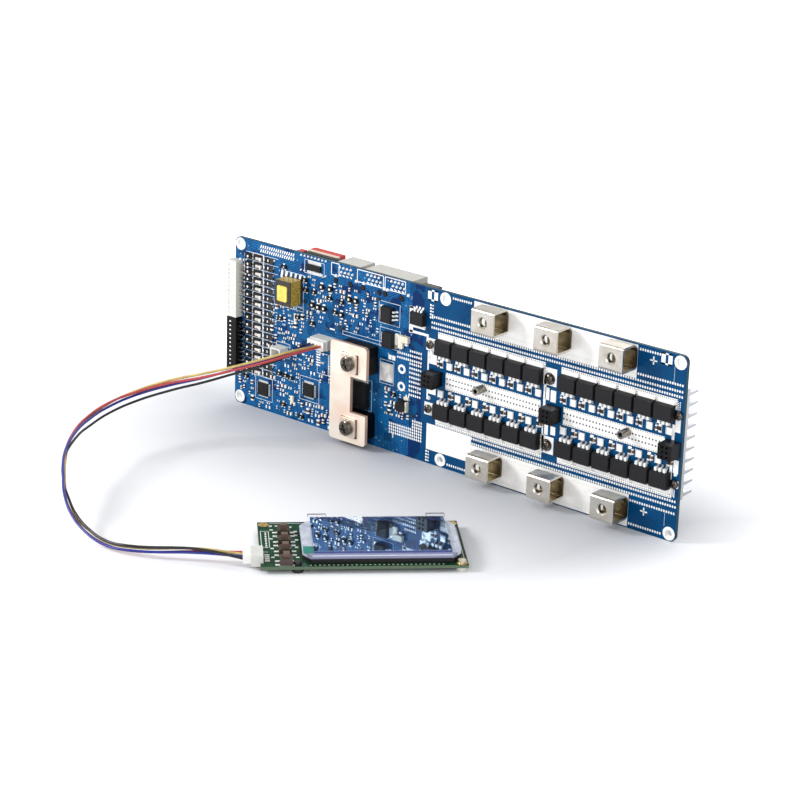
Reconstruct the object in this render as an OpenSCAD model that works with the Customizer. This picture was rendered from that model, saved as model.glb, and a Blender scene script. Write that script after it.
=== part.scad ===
// Battery management board with its plug-in display, on the surface they stand on.
// Millimetres. X runs along the board, the parts face -Y, Z is up the board.
// The origin is the middle of the board's lower edge, halfway through its thickness.

/* [Main board] */
// Length of the board
board_l = 300; // [290:1:310]
// Height of the board
board_h = 98; // [96:1:102]
// Thickness of the board
board_t = 2; // [1.6:0.1:2.4]
// Bore of the six fixing holes
fixing_hole_d = 4; // [3.2:0.1:4.5]
// From each edge to the fixing holes
fixing_inset = 4; // [3.8:0.1:5]
// Thickness of the solder on the tinned tracks
track_t = 0.2; // [0.1:0.05:0.4]

/* [Bolt terminals] */
// Width of a terminal along the board
terminal_w = 14.2; // [12:0.1:16]
// How far the terminals stand off the board
terminal_out = 13.1; // [11:0.1:15]
// Height of a terminal up the board
terminal_h = 13.4; // [12:0.1:14]
// Thickness of the terminal strip
terminal_t = 1.2; // [1:0.1:1.6]
// Bore of the terminal thread
thread_d = 5; // [4:0.1:6]
// Distance between neighbouring terminals
terminal_pitch = 39.8; // [30:0.1:42]

/* [Power transistors] */
// Width of a power transistor
fet_w = 10; // [9:0.1:10.6]
// Length of its moulded body
fet_l = 8.8; // [8:0.1:9.4]
// Height of its moulded body
fet_h = 4.4; // [3.5:0.1:5]
// Distance between neighbouring transistors
fet_pitch = 11.6; // [11.2:0.1:11.8]

/* [Link bar] */
// Thickness of the copper bar
bar_t = 2.2; // [1.5:0.1:3]
// Height of the posts that carry the bar
post_h = 9.8; // [8:0.1:11]

/* [Heat sink] */
// Thickness of the heat sink's base
sink_base_t = 2.4; // [2:0.1:4]
// Depth of the fins behind the base
fin_depth = 7.9; // [5:0.1:12]
// Number of fins
fin_count = 10; // [6:1:10]
// Distance between neighbouring fins
fin_pitch = 5.9; // [4:0.1:6]

/* [Address switch] */
// Number of slide switches in the row
slider_count = 8; // [8:1:8]
// Distance between neighbouring slides
slider_pitch = 2.54; // [2.4:0.02:2.6]
// Travel of a slide
slider_travel = 2; // [1:0.1:2]

/* [Display] */
// Length of the display's circuit board
display_l = 100; // [100:1:104]
// Width of the display's circuit board
display_w = 55; // [55:1:58]
// Height of that board's underside over the surface it stands on
display_rise = 2; // [2:0.1:6]
// Turn of the display, seen from above
display_turn = 44.6; // [44:0.1:45]
// Travel of a push button
button_travel = 0.25; // [0.1:0.05:0.4]

/* [Lead] */
// Outer diameter of one wire of the lead
wire_d = 1.4; // [1:0.1:1.4]

/* [Hidden] */
$fn = 32;

cut = 1; // how far a cutting shape runs past the face it cuts

// Fixing holes: one in each corner and one in the middle of each long edge
fixing_xs = [-board_l / 2 + fixing_inset, 0, board_l / 2 - fixing_inset];
fixing_zs = [fixing_inset, board_h - fixing_inset];
corner_r = 3.5;
ring_pad_d = 7;

// Tinned tracks: [x from, x to, z from, z to]
tracks = [
    [19, 121, 80, 97.3],   // P+ rail under the upper terminals
    [19, 121, 0.7, 18],    // B+ rail under the lower terminals
    [-4, 66, 69.6, 75],    // upper drain bands
    [76, 146, 69.6, 75],
    [-4, 66, 23, 28.4],    // lower drain bands
    [76, 146, 23, 28.4],
    [2, 64, 44.5, 54],     // middle rails
    [78.5, 140, 44.5, 54],
    [-43, -34, 39, 49.5],  // bare patch beside the link bar
];

// Bolt terminals
terminal_xs = [34.3, 34.3 + terminal_pitch, 34.3 + 2 * terminal_pitch];
p_row_z = 84.9; // underside of the upper terminals
b_row_z = 5;    // underside of the lower terminals
terminal_hole_up = 6.8;
terminal_nose_r = 1.5;
terminal_back_r = 5;
collar_d = 8;
collar_h = 1.8;
thread_chamfer_d = 6.4;
chamfer_h = 0.7;

// Power transistors: two banks of six, in two rows
bank_xs = [2, 82];
bank_count = 6;
upper_row_z = 67.6;
lower_row_z = 32;
fet_tab_t = 1.3;
fet_tab_out = 2.2;
leg_w = 1.1;
leg_pitch = 2.54;
driver_places = [[-37.7, 77.5, 90], [-16.6, 79.9, 180], [-36.3, 63.6, -90]]; // x, z, turn
driver_scale = 0.84;

// Link bar: a C of copper plate on two posts
bar_x = [-68.3, -42.8];
bar_z = [3, 59.2];
bar_notch_x = -53.8;
bar_notch_z = [20.6, 41.1];
bar_r = 2;
bar_screw_x = -54.3;
bar_screw_zs = [48.7, 12];
bar_bore_d = 5.3;
upper_post = [-66, -44.5, 42, 57.5]; // x from, x to, z from, z to
lower_post = [-66, -46, 4.5, 18.5];
washer_w = 10.5;
washer_t = 1.6;
screw_d = 4.8;
screw_head_d = 8.4;
screw_head_h = 2.8;
screw_depth = 7; // into the post
recess_w = 1.2;
recess_l = 5;

// Side-entry sense headers on the left edge
sense_pitch = 2.5;
sense_pins_white = 12;
sense_pins_black = 11;
sense_white_z = 52.2;  // lower end of the white header
sense_black_z = 21.4;  // lower end of the black header
sense_x = [-151.5, -144.5];
sense_h = 5.4;
sense_wall = 0.8;
sense_end = 2.7;       // from the housing's end to its first pin
pin_w = 0.64;
pin_out = 2.5;         // height of the pins off the board
tail_x = -143.2;

// Sixteen balancing channels in a column
cell_count = 16;
cell_pitch = 4.43;
cell_top_z = 88.5;
balance_x = -139.2;
shunt_chip_x = -134.1;
sense_chip_x = -130.9;
balance_resistor_x = -124.2;

// Loose chips beside them: [x, z, width, height up the board, thickness]
loose_chips = [[-66, 33.5, 2, 1.2, 0.6], [-97.5, 71, 2, 1.2, 0.6], [-84, 46, 1.6, 3, 0.8],
    [-116, 68, 2, 1.2, 0.6], [-71, 62, 3.2, 1.6, 0.6], [-62, 76.4, 2, 1.2, 0.6],
    [-26, 66, 6, 3.4, 2.2], [-30, 27, 3.2, 1.6, 0.8], [-24, 33, 3.2, 1.6, 0.8],
    [-36, 22, 2, 1.2, 0.6], [-20, 24, 2, 1.2, 0.6], [-45, 84, 2, 1.2, 0.6]];
// Small three-legged transistors: [x, z]
sot_places = [[-113.2, 87.7], [-98, 83.5], [-97, 78], [-91, 78], [-85.5, 82], [-79.5, 82],
    [-79.5, 77], [-71, 76.5], [-66, 79.5], [-61, 79.5], [-92, 70.5], [-84, 70], [-75.5, 70],
    [-141, 17.5], [-116, 25], [-111, 25], [-107, 24.5], [-99, 3.5], [-112.5, 7.5],
    [-102.5, 61], [-115.5, 57.5], [-92, 60], [-25, 30], [-33, 33]];

// Gate parts between each transistor's legs and the middle rails: [x, width, height, thickness]
gate_chip = [-3.1, 1.4, 3, 0.7];
gate_block = [2.65, 2.6, 3.4, 0.9];
gate_upper_z = 57.8;
gate_lower_z = 41.4;

// Transformer
transformer_x = -105.5;
transformer_z = 76;
core_size = [11, 14, 10];
core_window = [7.2, 9];
core_lift = 1.2;
coil_h = 10.6;

// Flat packages: [x, z, body side] for the square ones
qfps = [[-127.6, 12.8, 7.4], [-93.5, 20.6, 7.4]];
qfp_h = 1.5;
qfp_leads = 10;
qfp_lead_out = 1;
sensor = [-57, 27.8, 14, 14, 4];   // current sensor in the bar's notch: x, z, w, height, thickness
sensor_pins = 9;
sensor_pitch = 1.4;

// Upright lead sockets and the plug in the larger one
socket_x = -81.2;
socket_z = 52;
spare_x = -113.3;
spare_z = 39;
socket_w = 5.75;
socket_h = 7;
socket_wall = 0.9;
socket_floor = 1.5;
socket_pitch = 2.5;
plug_gap = 0.1;
plug_top = 10;
board_plug_pins = 4;

// Display, in its own frame: x towards the far end, y away from the front edge
display_at = [41.6, -114.7];
display_t = 1.6;
display_top = display_rise + display_t;
display_hole_d = 3.2;
frame_x = [-29.7, 47.2];
frame_y = [-23.5, 19];
frame_corner = [4, 5.5];
spacer_h = 2;
frame_h = 2;
frame_top = display_top + spacer_h + frame_h;
glass_x = [-24.2, 42.5];
glass_y = [-21, 21.3];
glass_t = 1.2;
cover_t = 0.4;
cover_inset = 0.3;
ear_left_x = [-25.3, -16];
ear_right_x = [33.8, 43.2];
ear_y = 24.6;
button_x = -37.6;
button_ys = [11.6, 0, -11.6, -23.2];
button_w = 6;
button_h = 3.5;
cap_w = 3.2;
cap_gap = 0.1;
cap_top = display_top + 5.8;
cap_foot = display_top + 2;   // underside of a cap at rest, inside its body
header_x = [-54.5, -48.6];
header_y = [-23.4, -11];
header_top = display_top + 4.1;
header_wall = 0.9;
lead_plug_x = -58.4;
lead_plug_z = [display_rise + 1.1, header_top - 0.2];
lead_plug_y = [-22.2, -12.2];
foot_d = 5.6;
foot_head_d = 4;
foot_head_h = 1.6;
open_feet = [[47, 24.5], [-47, 24.5]];
screwed_feet = [[47, -24.5], [-32.2, -24.6]];

// Heat sink behind the power transistors
sink_x = [-13, 149.5];
sink_z = [22, 80.5];
top_fin_z = 77.3;
fin_root_t = 1.8;
fin_tip_t = 1.1;
pad_t = 0.5;
sink_screw_xs = [-9, 69, 147.3];
sink_screw_zs = [67, 31];
sink_screw_d = 2.8;
sink_screw_head_d = 4.6;
sink_screw_head_h = 2;
sink_bore_d = 3;
sink_screw_depth = 1.8;

// Network jacks on the back, at the top edge
jack_w = 16;
jack_h = 15.4;
jack_out = 12.8;
jack_single_x = -68.4;
jack_double_xs = [-48.7, -32.2];
jack_double_x = [-57, -24];
jack_z = board_h - jack_h / 2;
mouth_w = 11.8;
mouth_h = 7;
mouth_deep = 10.6;
latch_w = 6.2;
latch_h = 2.4;

// Address switch on its raising socket, on the back at the top edge
switch_x = [-103, -81];
switch_z = [88.2, 98];
switch_base = 5.4;   // height of its underside off the board
switch_h = 6.6;
switch_socket_x = [-102, -77.5];
switch_socket_z = [88.7, 97.5];
switch_socket_h = 3.3;
slot_w = 1.7;
slot_deep = 2;
slide_w = 1.5;
slide_l = 1.8;
slide_h = 2.6;
slide_gap = 0.1;
switch_mid_x = (switch_x[0] + switch_x[1]) / 2;
switch_mid_z = (switch_z[0] + switch_z[1]) / 2;

// Indicators on the back: a lamp and a low bar
lamp_x = [-106.4, -102.4];
bar_lamp_x = [-18, -7];

// Box headers and studs on the front
box_header_xs = [-4.5, 72.9, 145.4];
box_header_z = 49.5;
box_header_size = [8, 8, 8.5];
box_hole_w = 1.1;
stud_places = [[26.7, 51.2], [118, 51]];
stud_d = 4.5;
stud_h = 6.5;
stud_bore_d = 2.5;

// The lead's route through the middle of its four wires, from the board to the display
lead_route = [[-81.2, -11, 52], [-81.2, -19, 52.2], [-82.5, -29, 51.5], [-87, -39, 49.2],
    [-103, -55, 42.8], [-116.5, -64.5, 38], [-129.5, -74, 34], [-141.5, -89, 29],
    [-144, -105, 26.5], [-141, -123, 24], [-131.5, -143, 22.5], [-118.5, -160, 19],
    [-100.5, -178, 16], [-88, -189, 13], [-78, -194, 9], [-66, -197, 5], [-51, -198, 2.4],
    [-36.5, -195.8, 3], [-5.6, -177.6, 5.4], [12.1, -167.95, 5.3]];
// Each wire's place beside [0] and above [1] the middle of the lead, point by point
black_offsets = [[3.7, 0], [3.5, -0.2], [2, -1.6], [0.8, -1.8], [0, -2.1], [0, -3], [0, -3.9],
    [0, -4.4], [0, -4.7], [-0.6, -3.8], [-1.1, -1.4], [1.3, -0.5], [0.8, -0.8], [-1.3, -0.7],
    [-1.1, 0.4], [-0.5, 1.2], [0.2, 1.6], [0.6, 1.9], [1.3, 1.3], [3.7, 0]];
blue_offsets = [[1.2, 0], [1.2, 0], [1.2, 0.1], [1.3, 0.1], [1.2, -0.2], [1, -0.8], [0.6, -1.2],
    [0.4, -1.2], [0, -1.1], [-0.8, 0.2], [-0.8, 1.4], [1, 2.6], [1, 2.3], [0.9, 1.8], [1.3, 0.7],
    [1.3, 0.1], [1.2, -0.2], [1.2, -0.2], [1.1, -0.6], [1.2, 0]];
yellow_offsets = [[-1.3, 0], [-1.2, 0.3], [-0.8, 1.2], [-0.3, 1.7], [0, 1.8], [0.2, 1.9],
    [0.8, 1.5], [1.2, 0.7], [1.2, 0], [1.4, -0.5], [1.5, -2], [0.9, -2.5], [0.2, -2.4],
    [-0.2, -2.4], [-1, -1.7], [-1.5, -0.4], [-1.2, 0.4], [-1.1, 0.5], [-0.6, 0.8], [-1.3, 0]];
red_offsets = [[-3.8, 0], [-3.2, 0], [-2.3, 0.2], [-1.6, 0.2], [-1.2, 0.3], [-1.1, 0.3],
    [-0.7, 0.5], [-0.4, 0.7], [0, 1.1], [0.7, 1], [0.8, 0.4], [1.1, 1.1], [0.9, 0.8], [0.5, 0.2],
    [0.4, -0.5], [0.2, -1], [-0.5, -1.1], [-0.5, -1.1], [-1.2, -0.8], [-3.8, 0]];
wire_sides = 8;

// ---------------------------------------------------------------- placing and shared shapes

// On the front face: local X along the board, local Y up it, local Z away from it
module front(x, z) {
    translate([x, -board_t / 2, z]) rotate([90, 0, 0]) children();
}

// On the back face: local X runs the other way, local Y up, local Z away from the board
module rear(x, z) {
    translate([x, board_t / 2, z]) rotate([90, 0, 180]) children();
}

// In the display's own frame
module display() {
    translate([display_at[0], display_at[1], 0]) rotate([0, 0, display_turn]) children();
}

// A block centred on its place, standing on local Z 0
module block(x, y, z) {
    translate([-x / 2, -y / 2, 0]) cube([x, y, z]);
}

// A block between two corners given as [from, to] on each axis
module span(x, y, z) {
    translate([x[0], y[0], z[0]]) cube([x[1] - x[0], y[1] - y[0], z[1] - z[0]]);
}

// A rectangle with true round corners, centred
module rounded(x, y, r) {
    square([x - 2 * r, y], center = true);
    square([x, y - 2 * r], center = true);
    for (sx = [-1, 1], sy = [-1, 1])
        translate([sx * (x / 2 - r), sy * (y / 2 - r)]) circle(r);
}

// Points on an arc about c from angle a to angle b
function arc(c, r, a, b, n = 6) =
    [for (i = [0:n]) let (w = a + (b - a) * i / n) [c[0] + r * cos(w), c[1] + r * sin(w)]];

// Extrudes an outline of [up the board, off the board] points along the board
module along(w, points) {
    rotate([90, 0, 90]) translate([0, 0, -w / 2]) linear_extrude(w) polygon(points);
}

// ---------------------------------------------------------------- main board

module main_board() {
    color("#1f5f9e") difference() {
        front(0, board_h / 2) translate([0, 0, -board_t])
            linear_extrude(board_t) rounded(board_l, board_h, corner_r);
        for (x = fixing_xs, z = fixing_zs) board_bore(x, z, fixing_hole_d);
        for (x = sink_screw_xs, z = sink_screw_zs) board_bore(x, z, sink_bore_d + 0.2);
    }
}

module board_bore(x, z, d) {
    front(x, z) translate([0, 0, -board_t - cut]) cylinder(d = d, h = board_t + 2 * cut);
}

module tinned_tracks() {
    color("#e8e8e2") {
        for (t = tracks)
            front((t[0] + t[1]) / 2, (t[2] + t[3]) / 2) block(t[1] - t[0], t[3] - t[2], track_t);
        for (x = fixing_xs, z = fixing_zs) front(x, z) ring(ring_pad_d, fixing_hole_d, track_t);
    }
}

module ring(outer, inner, h) {
    difference() {
        cylinder(d = outer, h = h);
        translate([0, 0, -cut]) cylinder(d = inner, h = h + 2 * cut);
    }
}

// ---------------------------------------------------------------- bolt terminals

// Outline of the bent strip, at a depth below its outer face
function terminal_outline(depth) = concat(
    arc([terminal_h - terminal_back_r, terminal_back_r], terminal_back_r - depth, -90, 0),
    arc([terminal_h - terminal_nose_r, terminal_out - terminal_nose_r],
        terminal_nose_r - depth, 0, 90, 4),
    arc([terminal_nose_r, terminal_out - terminal_nose_r], terminal_nose_r - depth, 90, 180, 4),
    arc([terminal_nose_r, terminal_nose_r], terminal_nose_r - depth, 180, 270, 4));

// A loop bent from strip, with a tapped collar drawn inwards from its front plate
module terminal(x, z) {
    plate_back = terminal_out - terminal_t;
    color("#d8d4cc") front(x, z) translate([0, 0, track_t]) difference() {
        union() {
            difference() {
                along(terminal_w, terminal_outline(0));
                along(terminal_w + 2 * cut, terminal_outline(terminal_t));
            }
            translate([0, terminal_hole_up, plate_back - collar_h])
                cylinder(d = collar_d, h = collar_h);
        }
        translate([0, terminal_hole_up, plate_back - collar_h - cut])
            cylinder(d = thread_d, h = terminal_t + collar_h + 2 * cut);
        translate([0, terminal_hole_up, terminal_out - chamfer_h])
            cylinder(d1 = thread_d, d2 = thread_chamfer_d, h = chamfer_h + 0.01);
    }
}

module p_terminal_1() { terminal(terminal_xs[0], p_row_z); }
module p_terminal_2() { terminal(terminal_xs[1], p_row_z); }
module p_terminal_3() { terminal(terminal_xs[2], p_row_z); }
module b_terminal_1() { terminal(terminal_xs[0], b_row_z); }
module b_terminal_2() { terminal(terminal_xs[1], b_row_z); }
module b_terminal_3() { terminal(terminal_xs[2], b_row_z); }

// ---------------------------------------------------------------- transistors

// A moulded power package: metal tab towards local +Y, three bent legs towards -Y
// that reach down past its underside by the solder's thickness
module power_package(drop) {
    half = fet_l / 2;
    leg_top = 2.8;
    leg_t = 0.6;
    along(fet_w, [[-half, 0], [half, 0], [half, fet_tab_t], [half - 0.5, fet_h],
        [-half + 0.5, fet_h], [-half, leg_top]]);
    translate([0, half + fet_tab_out / 2 - 0.1, 0])
        block(fet_w - 0.2, fet_tab_out + 0.2, fet_tab_t);
    for (x = [-1, 0, 1] * leg_pitch)
        translate([x, 0, 0]) along(leg_w, [[-half + 0.6, leg_top], [-half + 0.6, leg_top - leg_t],
            [-half - 0.8, leg_top - leg_t], [-half - 1.6, -drop], [-half - 3, -drop],
            [-half - 3, leg_t - drop], [-half - 2.1, leg_t - drop], [-half - 1.2, leg_top]]);
}

module fet_row(z, turn) {
    for (bank = bank_xs, i = [0:bank_count - 1]) front(bank + i * fet_pitch, z)
        rotate([0, 0, turn]) translate([0, 0, track_t]) power_package(track_t);
}

module mosfets_upper() { color("#2a2a2c") fet_row(upper_row_z, 0); }
module mosfets_lower() { color("#2a2a2c") fet_row(lower_row_z, 180); }

module driver_transistors() {
    color("#2a2a2c") for (p = driver_places)
        front(p[0], p[1]) rotate([0, 0, p[2]]) scale(driver_scale) power_package(0);
}

// A small three-legged package
module sot() {
    block(2.9, 1.5, 1.1);
    for (x = [-0.95, 0.95]) translate([x, -1.05, 0]) block(0.45, 0.7, 0.35);
    translate([0, 1.05, 0]) block(0.45, 0.7, 0.35);
}

module small_transistors() {
    color("#242426") for (p = sot_places) front(p[0], p[1]) sot();
}

module balance_transistors() {
    color("#242426") for (i = [0:cell_count - 1]) front(balance_x, cell_top_z - i * cell_pitch) {
        block(4.6, 2.8, 1.6);
        translate([-2.8, 0, 0]) block(1.2, 1.8, 0.4);
        for (y = [-0.9, 0.9]) translate([2.7, y, 0]) block(1, 0.5, 0.4);
    }
}

module chip_resistors() {
    color("#6b5a4a") {
        for (i = [0:cell_count - 1]) {
            z = cell_top_z - i * cell_pitch;
            front(shunt_chip_x, z) block(2.6, 2.6, 0.9);
            front(sense_chip_x, z) block(2.8, 2.2, 0.6);
            front(balance_resistor_x, z) block(6.3, 3.1, 0.7);
        }
        for (c = loose_chips) front(c[0], c[1]) block(c[2], c[3], c[4]);
        for (bank = bank_xs, i = [0:bank_count - 1], c = [gate_chip, gate_block]) {
            front(bank + i * fet_pitch + c[0], gate_upper_z) block(c[1], c[2], c[3]);
            front(bank + i * fet_pitch - c[0], gate_lower_z) block(c[1], c[2], c[3]);
        }
    }
}

// ---------------------------------------------------------------- link bar

module bar_outline() {
    difference() {
        translate([(bar_x[0] + bar_x[1]) / 2, (bar_z[0] + bar_z[1]) / 2])
            rounded(bar_x[1] - bar_x[0], bar_z[1] - bar_z[0], bar_r);
        translate([bar_notch_x, bar_notch_z[0]])
            square([bar_x[1] - bar_notch_x + cut, bar_notch_z[1] - bar_notch_z[0]]);
    }
}

module link_bar() {
    color("#e3b79a") front(0, 0) translate([0, 0, post_h]) difference() {
        linear_extrude(bar_t) bar_outline();
        for (z = bar_screw_zs)
            translate([bar_screw_x, z, -cut]) cylinder(d = bar_bore_d, h = bar_t + 2 * cut);
    }
}

module link_posts() {
    color("#161616") for (p = [upper_post, lower_post]) front(0, 0) difference() {
        translate([(p[0] + p[1]) / 2, (p[2] + p[3]) / 2, 0])
            linear_extrude(post_h) rounded(p[1] - p[0], p[3] - p[2], 1);
        for (z = bar_screw_zs)
            translate([bar_screw_x, z, post_h - screw_depth - 0.6])
                cylinder(d = screw_d + 0.2, h = screw_depth + 0.6 + cut);
    }
}

module link_washers() {
    color("#dcdcd6") for (z = bar_screw_zs)
        front(bar_screw_x, z) translate([0, 0, post_h + bar_t]) difference() {
            linear_extrude(washer_t) rounded(washer_w, washer_w, 1);
            translate([0, 0, -cut]) cylinder(d = bar_bore_d, h = washer_t + 2 * cut);
        }
}

// Pan head, shank and cross recess
module pan_screw(head_d, head_h, shank_d, shank_l) {
    edge_h = head_h * 0.55;
    difference() {
        rotate_extrude() polygon(concat([[0, 0], [head_d / 2, 0], [head_d / 2, edge_h]],
            [for (w = [15:15:75]) [head_d / 2 * cos(w), edge_h + (head_h - edge_h) * sin(w)]],
            [[0, head_h]]));
        for (turn = [20, 110]) rotate([0, 0, turn]) translate([0, 0, head_h * 0.4])
            block(head_d * 0.6, recess_w * head_d / screw_head_d, head_h);
    }
    translate([0, 0, -shank_l]) cylinder(d = shank_d, h = shank_l + 0.1);
}

module link_screws() {
    stack = post_h + bar_t + washer_t;
    color("#b8b6b0") for (z = bar_screw_zs) front(bar_screw_x, z) translate([0, 0, stack])
        pan_screw(screw_head_d, screw_head_h, screw_d, bar_t + washer_t + screw_depth);
}

// ---------------------------------------------------------------- sense headers

// A side-entry housing whose mouth faces the board's left edge
module sense_header(z, pins) {
    l = (pins - 1) * sense_pitch + 2 * sense_end;
    inner_x = [sense_x[0] - cut, sense_x[1] - 1.2];
    front(0, z) difference() {
        span(sense_x, [0, l], [0, sense_h]);
        span(inner_x, [sense_wall, l - sense_wall], [sense_wall, sense_h - sense_wall]);
        for (i = [0:pins - 1]) {
            y = sense_end + i * sense_pitch;
            span([sense_x[0] + 1.4, sense_x[0] + 3.2], [y - 0.5, y + 0.5], [pin_out, sense_h + cut]);
            span([sense_x[1] - 2, sense_x[1] + cut], [y - pin_w / 2, y + pin_w / 2],
                [pin_out - pin_w / 2, pin_out + pin_w / 2]);
        }
    }
}

module sense_header_white() { color("#ecebe6") sense_header(sense_white_z, sense_pins_white); }
module sense_header_black() { color("#1a1a1c") sense_header(sense_black_z, sense_pins_black); }

module pin_row(z, pins) {
    for (i = [0:pins - 1]) front(0, z + sense_end + i * sense_pitch) {
        span([sense_x[0] + 1.5, tail_x + pin_w / 2], [-pin_w / 2, pin_w / 2],
            [pin_out - pin_w / 2, pin_out + pin_w / 2]);
        span([tail_x - pin_w / 2, tail_x + pin_w / 2], [-pin_w / 2, pin_w / 2],
            [0, pin_out - pin_w / 2]);
    }
}

module header_pins() {
    color("#cfcabb") {
        pin_row(sense_white_z, sense_pins_white);
        pin_row(sense_black_z, sense_pins_black);
    }
}

// ---------------------------------------------------------------- transformer and chips

module transformer_core() {
    color("#3a3632") front(transformer_x, transformer_z) difference() {
        translate([0, 0, 0]) block(core_size[0], core_size[1], core_size[2]);
        translate([0, 0, core_lift]) block(core_window[0], core_window[1], core_size[2]);
    }
}

module transformer_coil() {
    color("#e2b53a") front(transformer_x, transformer_z)
        translate([0, 0, core_lift]) linear_extrude(coil_h - core_lift)
            rounded(core_window[0] - 0.2, core_window[1] - 0.2, 1);
}

// A flat square package with gull-wing legs on all four sides
module qfp(side) {
    pitch = (side - 1.4) / (qfp_leads - 1);
    translate([0, 0, 0.1]) block(side, side, qfp_h - 0.1);
    for (turn = [0:90:270], i = [0:qfp_leads - 1])
        rotate([0, 0, turn]) translate([(i - (qfp_leads - 1) / 2) * pitch, side / 2, 0])
            translate([0, qfp_lead_out / 2 - 0.1, 0]) block(0.3, qfp_lead_out + 0.2, 0.25);
}

module flat_chips() {
    color("#202022") {
        for (q = qfps) front(q[0], q[1]) qfp(q[2]);
        front(sensor[0], sensor[1]) {
            block(sensor[2], sensor[3], sensor[4]);
            for (side = [-1, 1], i = [0:sensor_pins - 1])
                translate([(i - (sensor_pins - 1) / 2) * sensor_pitch,
                    side * (sensor[3] / 2 + 0.9), 0]) block(0.6, 2, 0.4);
        }
    }
}

// ---------------------------------------------------------------- lead, sockets and plugs

// An upright housing open at the top, with a slot for each pin in one long wall
module upright_socket(pins) {
    l = (pins - 1) * socket_pitch + 4.9;
    difference() {
        block(l, socket_w, socket_h);
        translate([0, 0, socket_floor])
            block(l - 2 * socket_wall, socket_w - 2 * socket_wall, socket_h);
        for (i = [0, pins - 1]) translate([(i - (pins - 1) / 2) * socket_pitch, -socket_w / 2, 4])
            block(1, 2 * socket_wall + 0.2, socket_h);
    }
}

module lead_sockets() {
    color("#e6e0d0") {
        front(socket_x, socket_z) upright_socket(board_plug_pins);
        front(spare_x, spare_z) upright_socket(2);
    }
}

module lead_plug() {
    l = (board_plug_pins - 1) * socket_pitch + 4.9;
    color("#f2f0ea") front(socket_x, socket_z) {
        translate([0, 0, socket_floor])
            block(l - 2 * (socket_wall + plug_gap), socket_w - 2 * (socket_wall + plug_gap),
                plug_top - socket_floor);
        translate([0, 0, socket_h]) block(l - 0.8, socket_w - 0.6, plug_top - socket_h);
    }
}

// Direction of the route at point i: square to the plug that it leaves and the one it enters
function heading(i) =
    let (last = len(lead_route) - 1,
        d = i == 0 ? [0, -1, 0]
            : i == last ? [cos(display_turn), sin(display_turn), 0]
            : lead_route[i + 1] - lead_route[i - 1]) d / norm(d);

// A wire's own route: the lead's route shifted sideways and upwards at each point
function wire_route(offsets) =
    [for (i = [0:len(lead_route) - 1])
        let (t = heading(i), side = cross(t, [0, 0, 1]) / norm(cross(t, [0, 0, 1])),
            up = cross(side, t))
        lead_route[i] + offsets[i][0] * side + offsets[i][1] * up];

// Direction of a ring: square to the first and last faces, else halfway between neighbours
function ring_heading(route, i) =
    let (last = len(route) - 1)
        i == 0 ? [0, -1, 0] :
        i == last ? [cos(display_turn), sin(display_turn), 0] :
        let (d = route[i + 1] - route[i - 1]) d / norm(d);

function ring_points(route, i) =
    let (t = ring_heading(route, i), side = cross(t, [0, 0, 1]) / norm(cross(t, [0, 0, 1])),
        up = cross(side, t), r = wire_d / 2)
        [for (k = [0:wire_sides - 1]) let (w = 360 * k / wire_sides)
            route[i] + r * cos(w) * side + r * sin(w) * up];

module wire(offsets) {
    route = wire_route(offsets);
    rings = len(route);
    points = [for (i = [0:rings - 1]) each ring_points(route, i)];
    sides = [for (i = [0:rings - 2], k = [0:wire_sides - 1])
        let (a = i * wire_sides + k, b = i * wire_sides + (k + 1) % wire_sides)
        [a, b, b + wire_sides, a + wire_sides]];
    first_end = [for (k = [wire_sides - 1:-1:0]) k];
    last_end = [for (k = [0:wire_sides - 1]) (rings - 1) * wire_sides + k];
    polyhedron(points, concat([first_end, last_end], sides), convexity = 10);
}

module wire_black() { color("#151515") wire(black_offsets); }
module wire_blue() { color("#1c3fd0") wire(blue_offsets); }
module wire_yellow() { color("#e6d45a") wire(yellow_offsets); }
module wire_red() { color("#c8463c") wire(red_offsets); }

module display_plug() {
    nose_x = header_x[0] + 4;
    gap = header_wall + plug_gap;
    color("#f2f0ea") display() {
        span([lead_plug_x, header_x[0]], lead_plug_y, lead_plug_z);
        span([header_x[0] - 0.1, nose_x], [header_y[0] + gap, header_y[1] - gap],
            [display_rise + gap, header_top - gap]);
    }
}

// ---------------------------------------------------------------- display

module display_header() {
    color("#e9e7e0") display() difference() {
        union() {
            span([header_x[0], -display_l / 2], header_y, [display_rise, header_top]);
            span([-display_l / 2 - 0.1, header_x[1]], header_y, [display_top, header_top]);
        }
        span([header_x[0] - cut, header_x[0] + 4.2],
            [header_y[0] + header_wall, header_y[1] - header_wall],
            [display_rise + header_wall, header_top - header_wall]);
    }
}

module display_board() {
    color("#1d6b35") display() difference() {
        translate([0, 0, display_rise]) block(display_l, display_w, display_t);
        for (p = concat(open_feet, screwed_feet)) translate([p[0], p[1], display_rise - cut])
            cylinder(d = display_hole_d, h = display_t + 2 * cut);
    }
}

// A tray with cut corners on a slightly smaller spacer
module display_frame() {
    c = frame_corner;
    color("#e4e8ee") display() {
        translate([0, 0, display_top + spacer_h]) linear_extrude(frame_h) polygon([
            [frame_x[0] + c[0], frame_y[0]], [frame_x[1] - c[0], frame_y[0]],
            [frame_x[1], frame_y[0] + c[1]], [frame_x[1], frame_y[1] - c[1]],
            [frame_x[1] - c[0], frame_y[1]], [frame_x[0] + c[0], frame_y[1]],
            [frame_x[0], frame_y[1] - c[1]], [frame_x[0], frame_y[0] + c[1]]]);
        span([frame_x[0] + 3, frame_x[1] - 3], [frame_y[0] + 2.5, frame_y[1] - 1],
            [display_top, display_top + spacer_h + 0.1]);
    }
}

module display_glass() {
    color("#33475c") display() span(glass_x, glass_y, [frame_top, frame_top + glass_t]);
}

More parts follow.
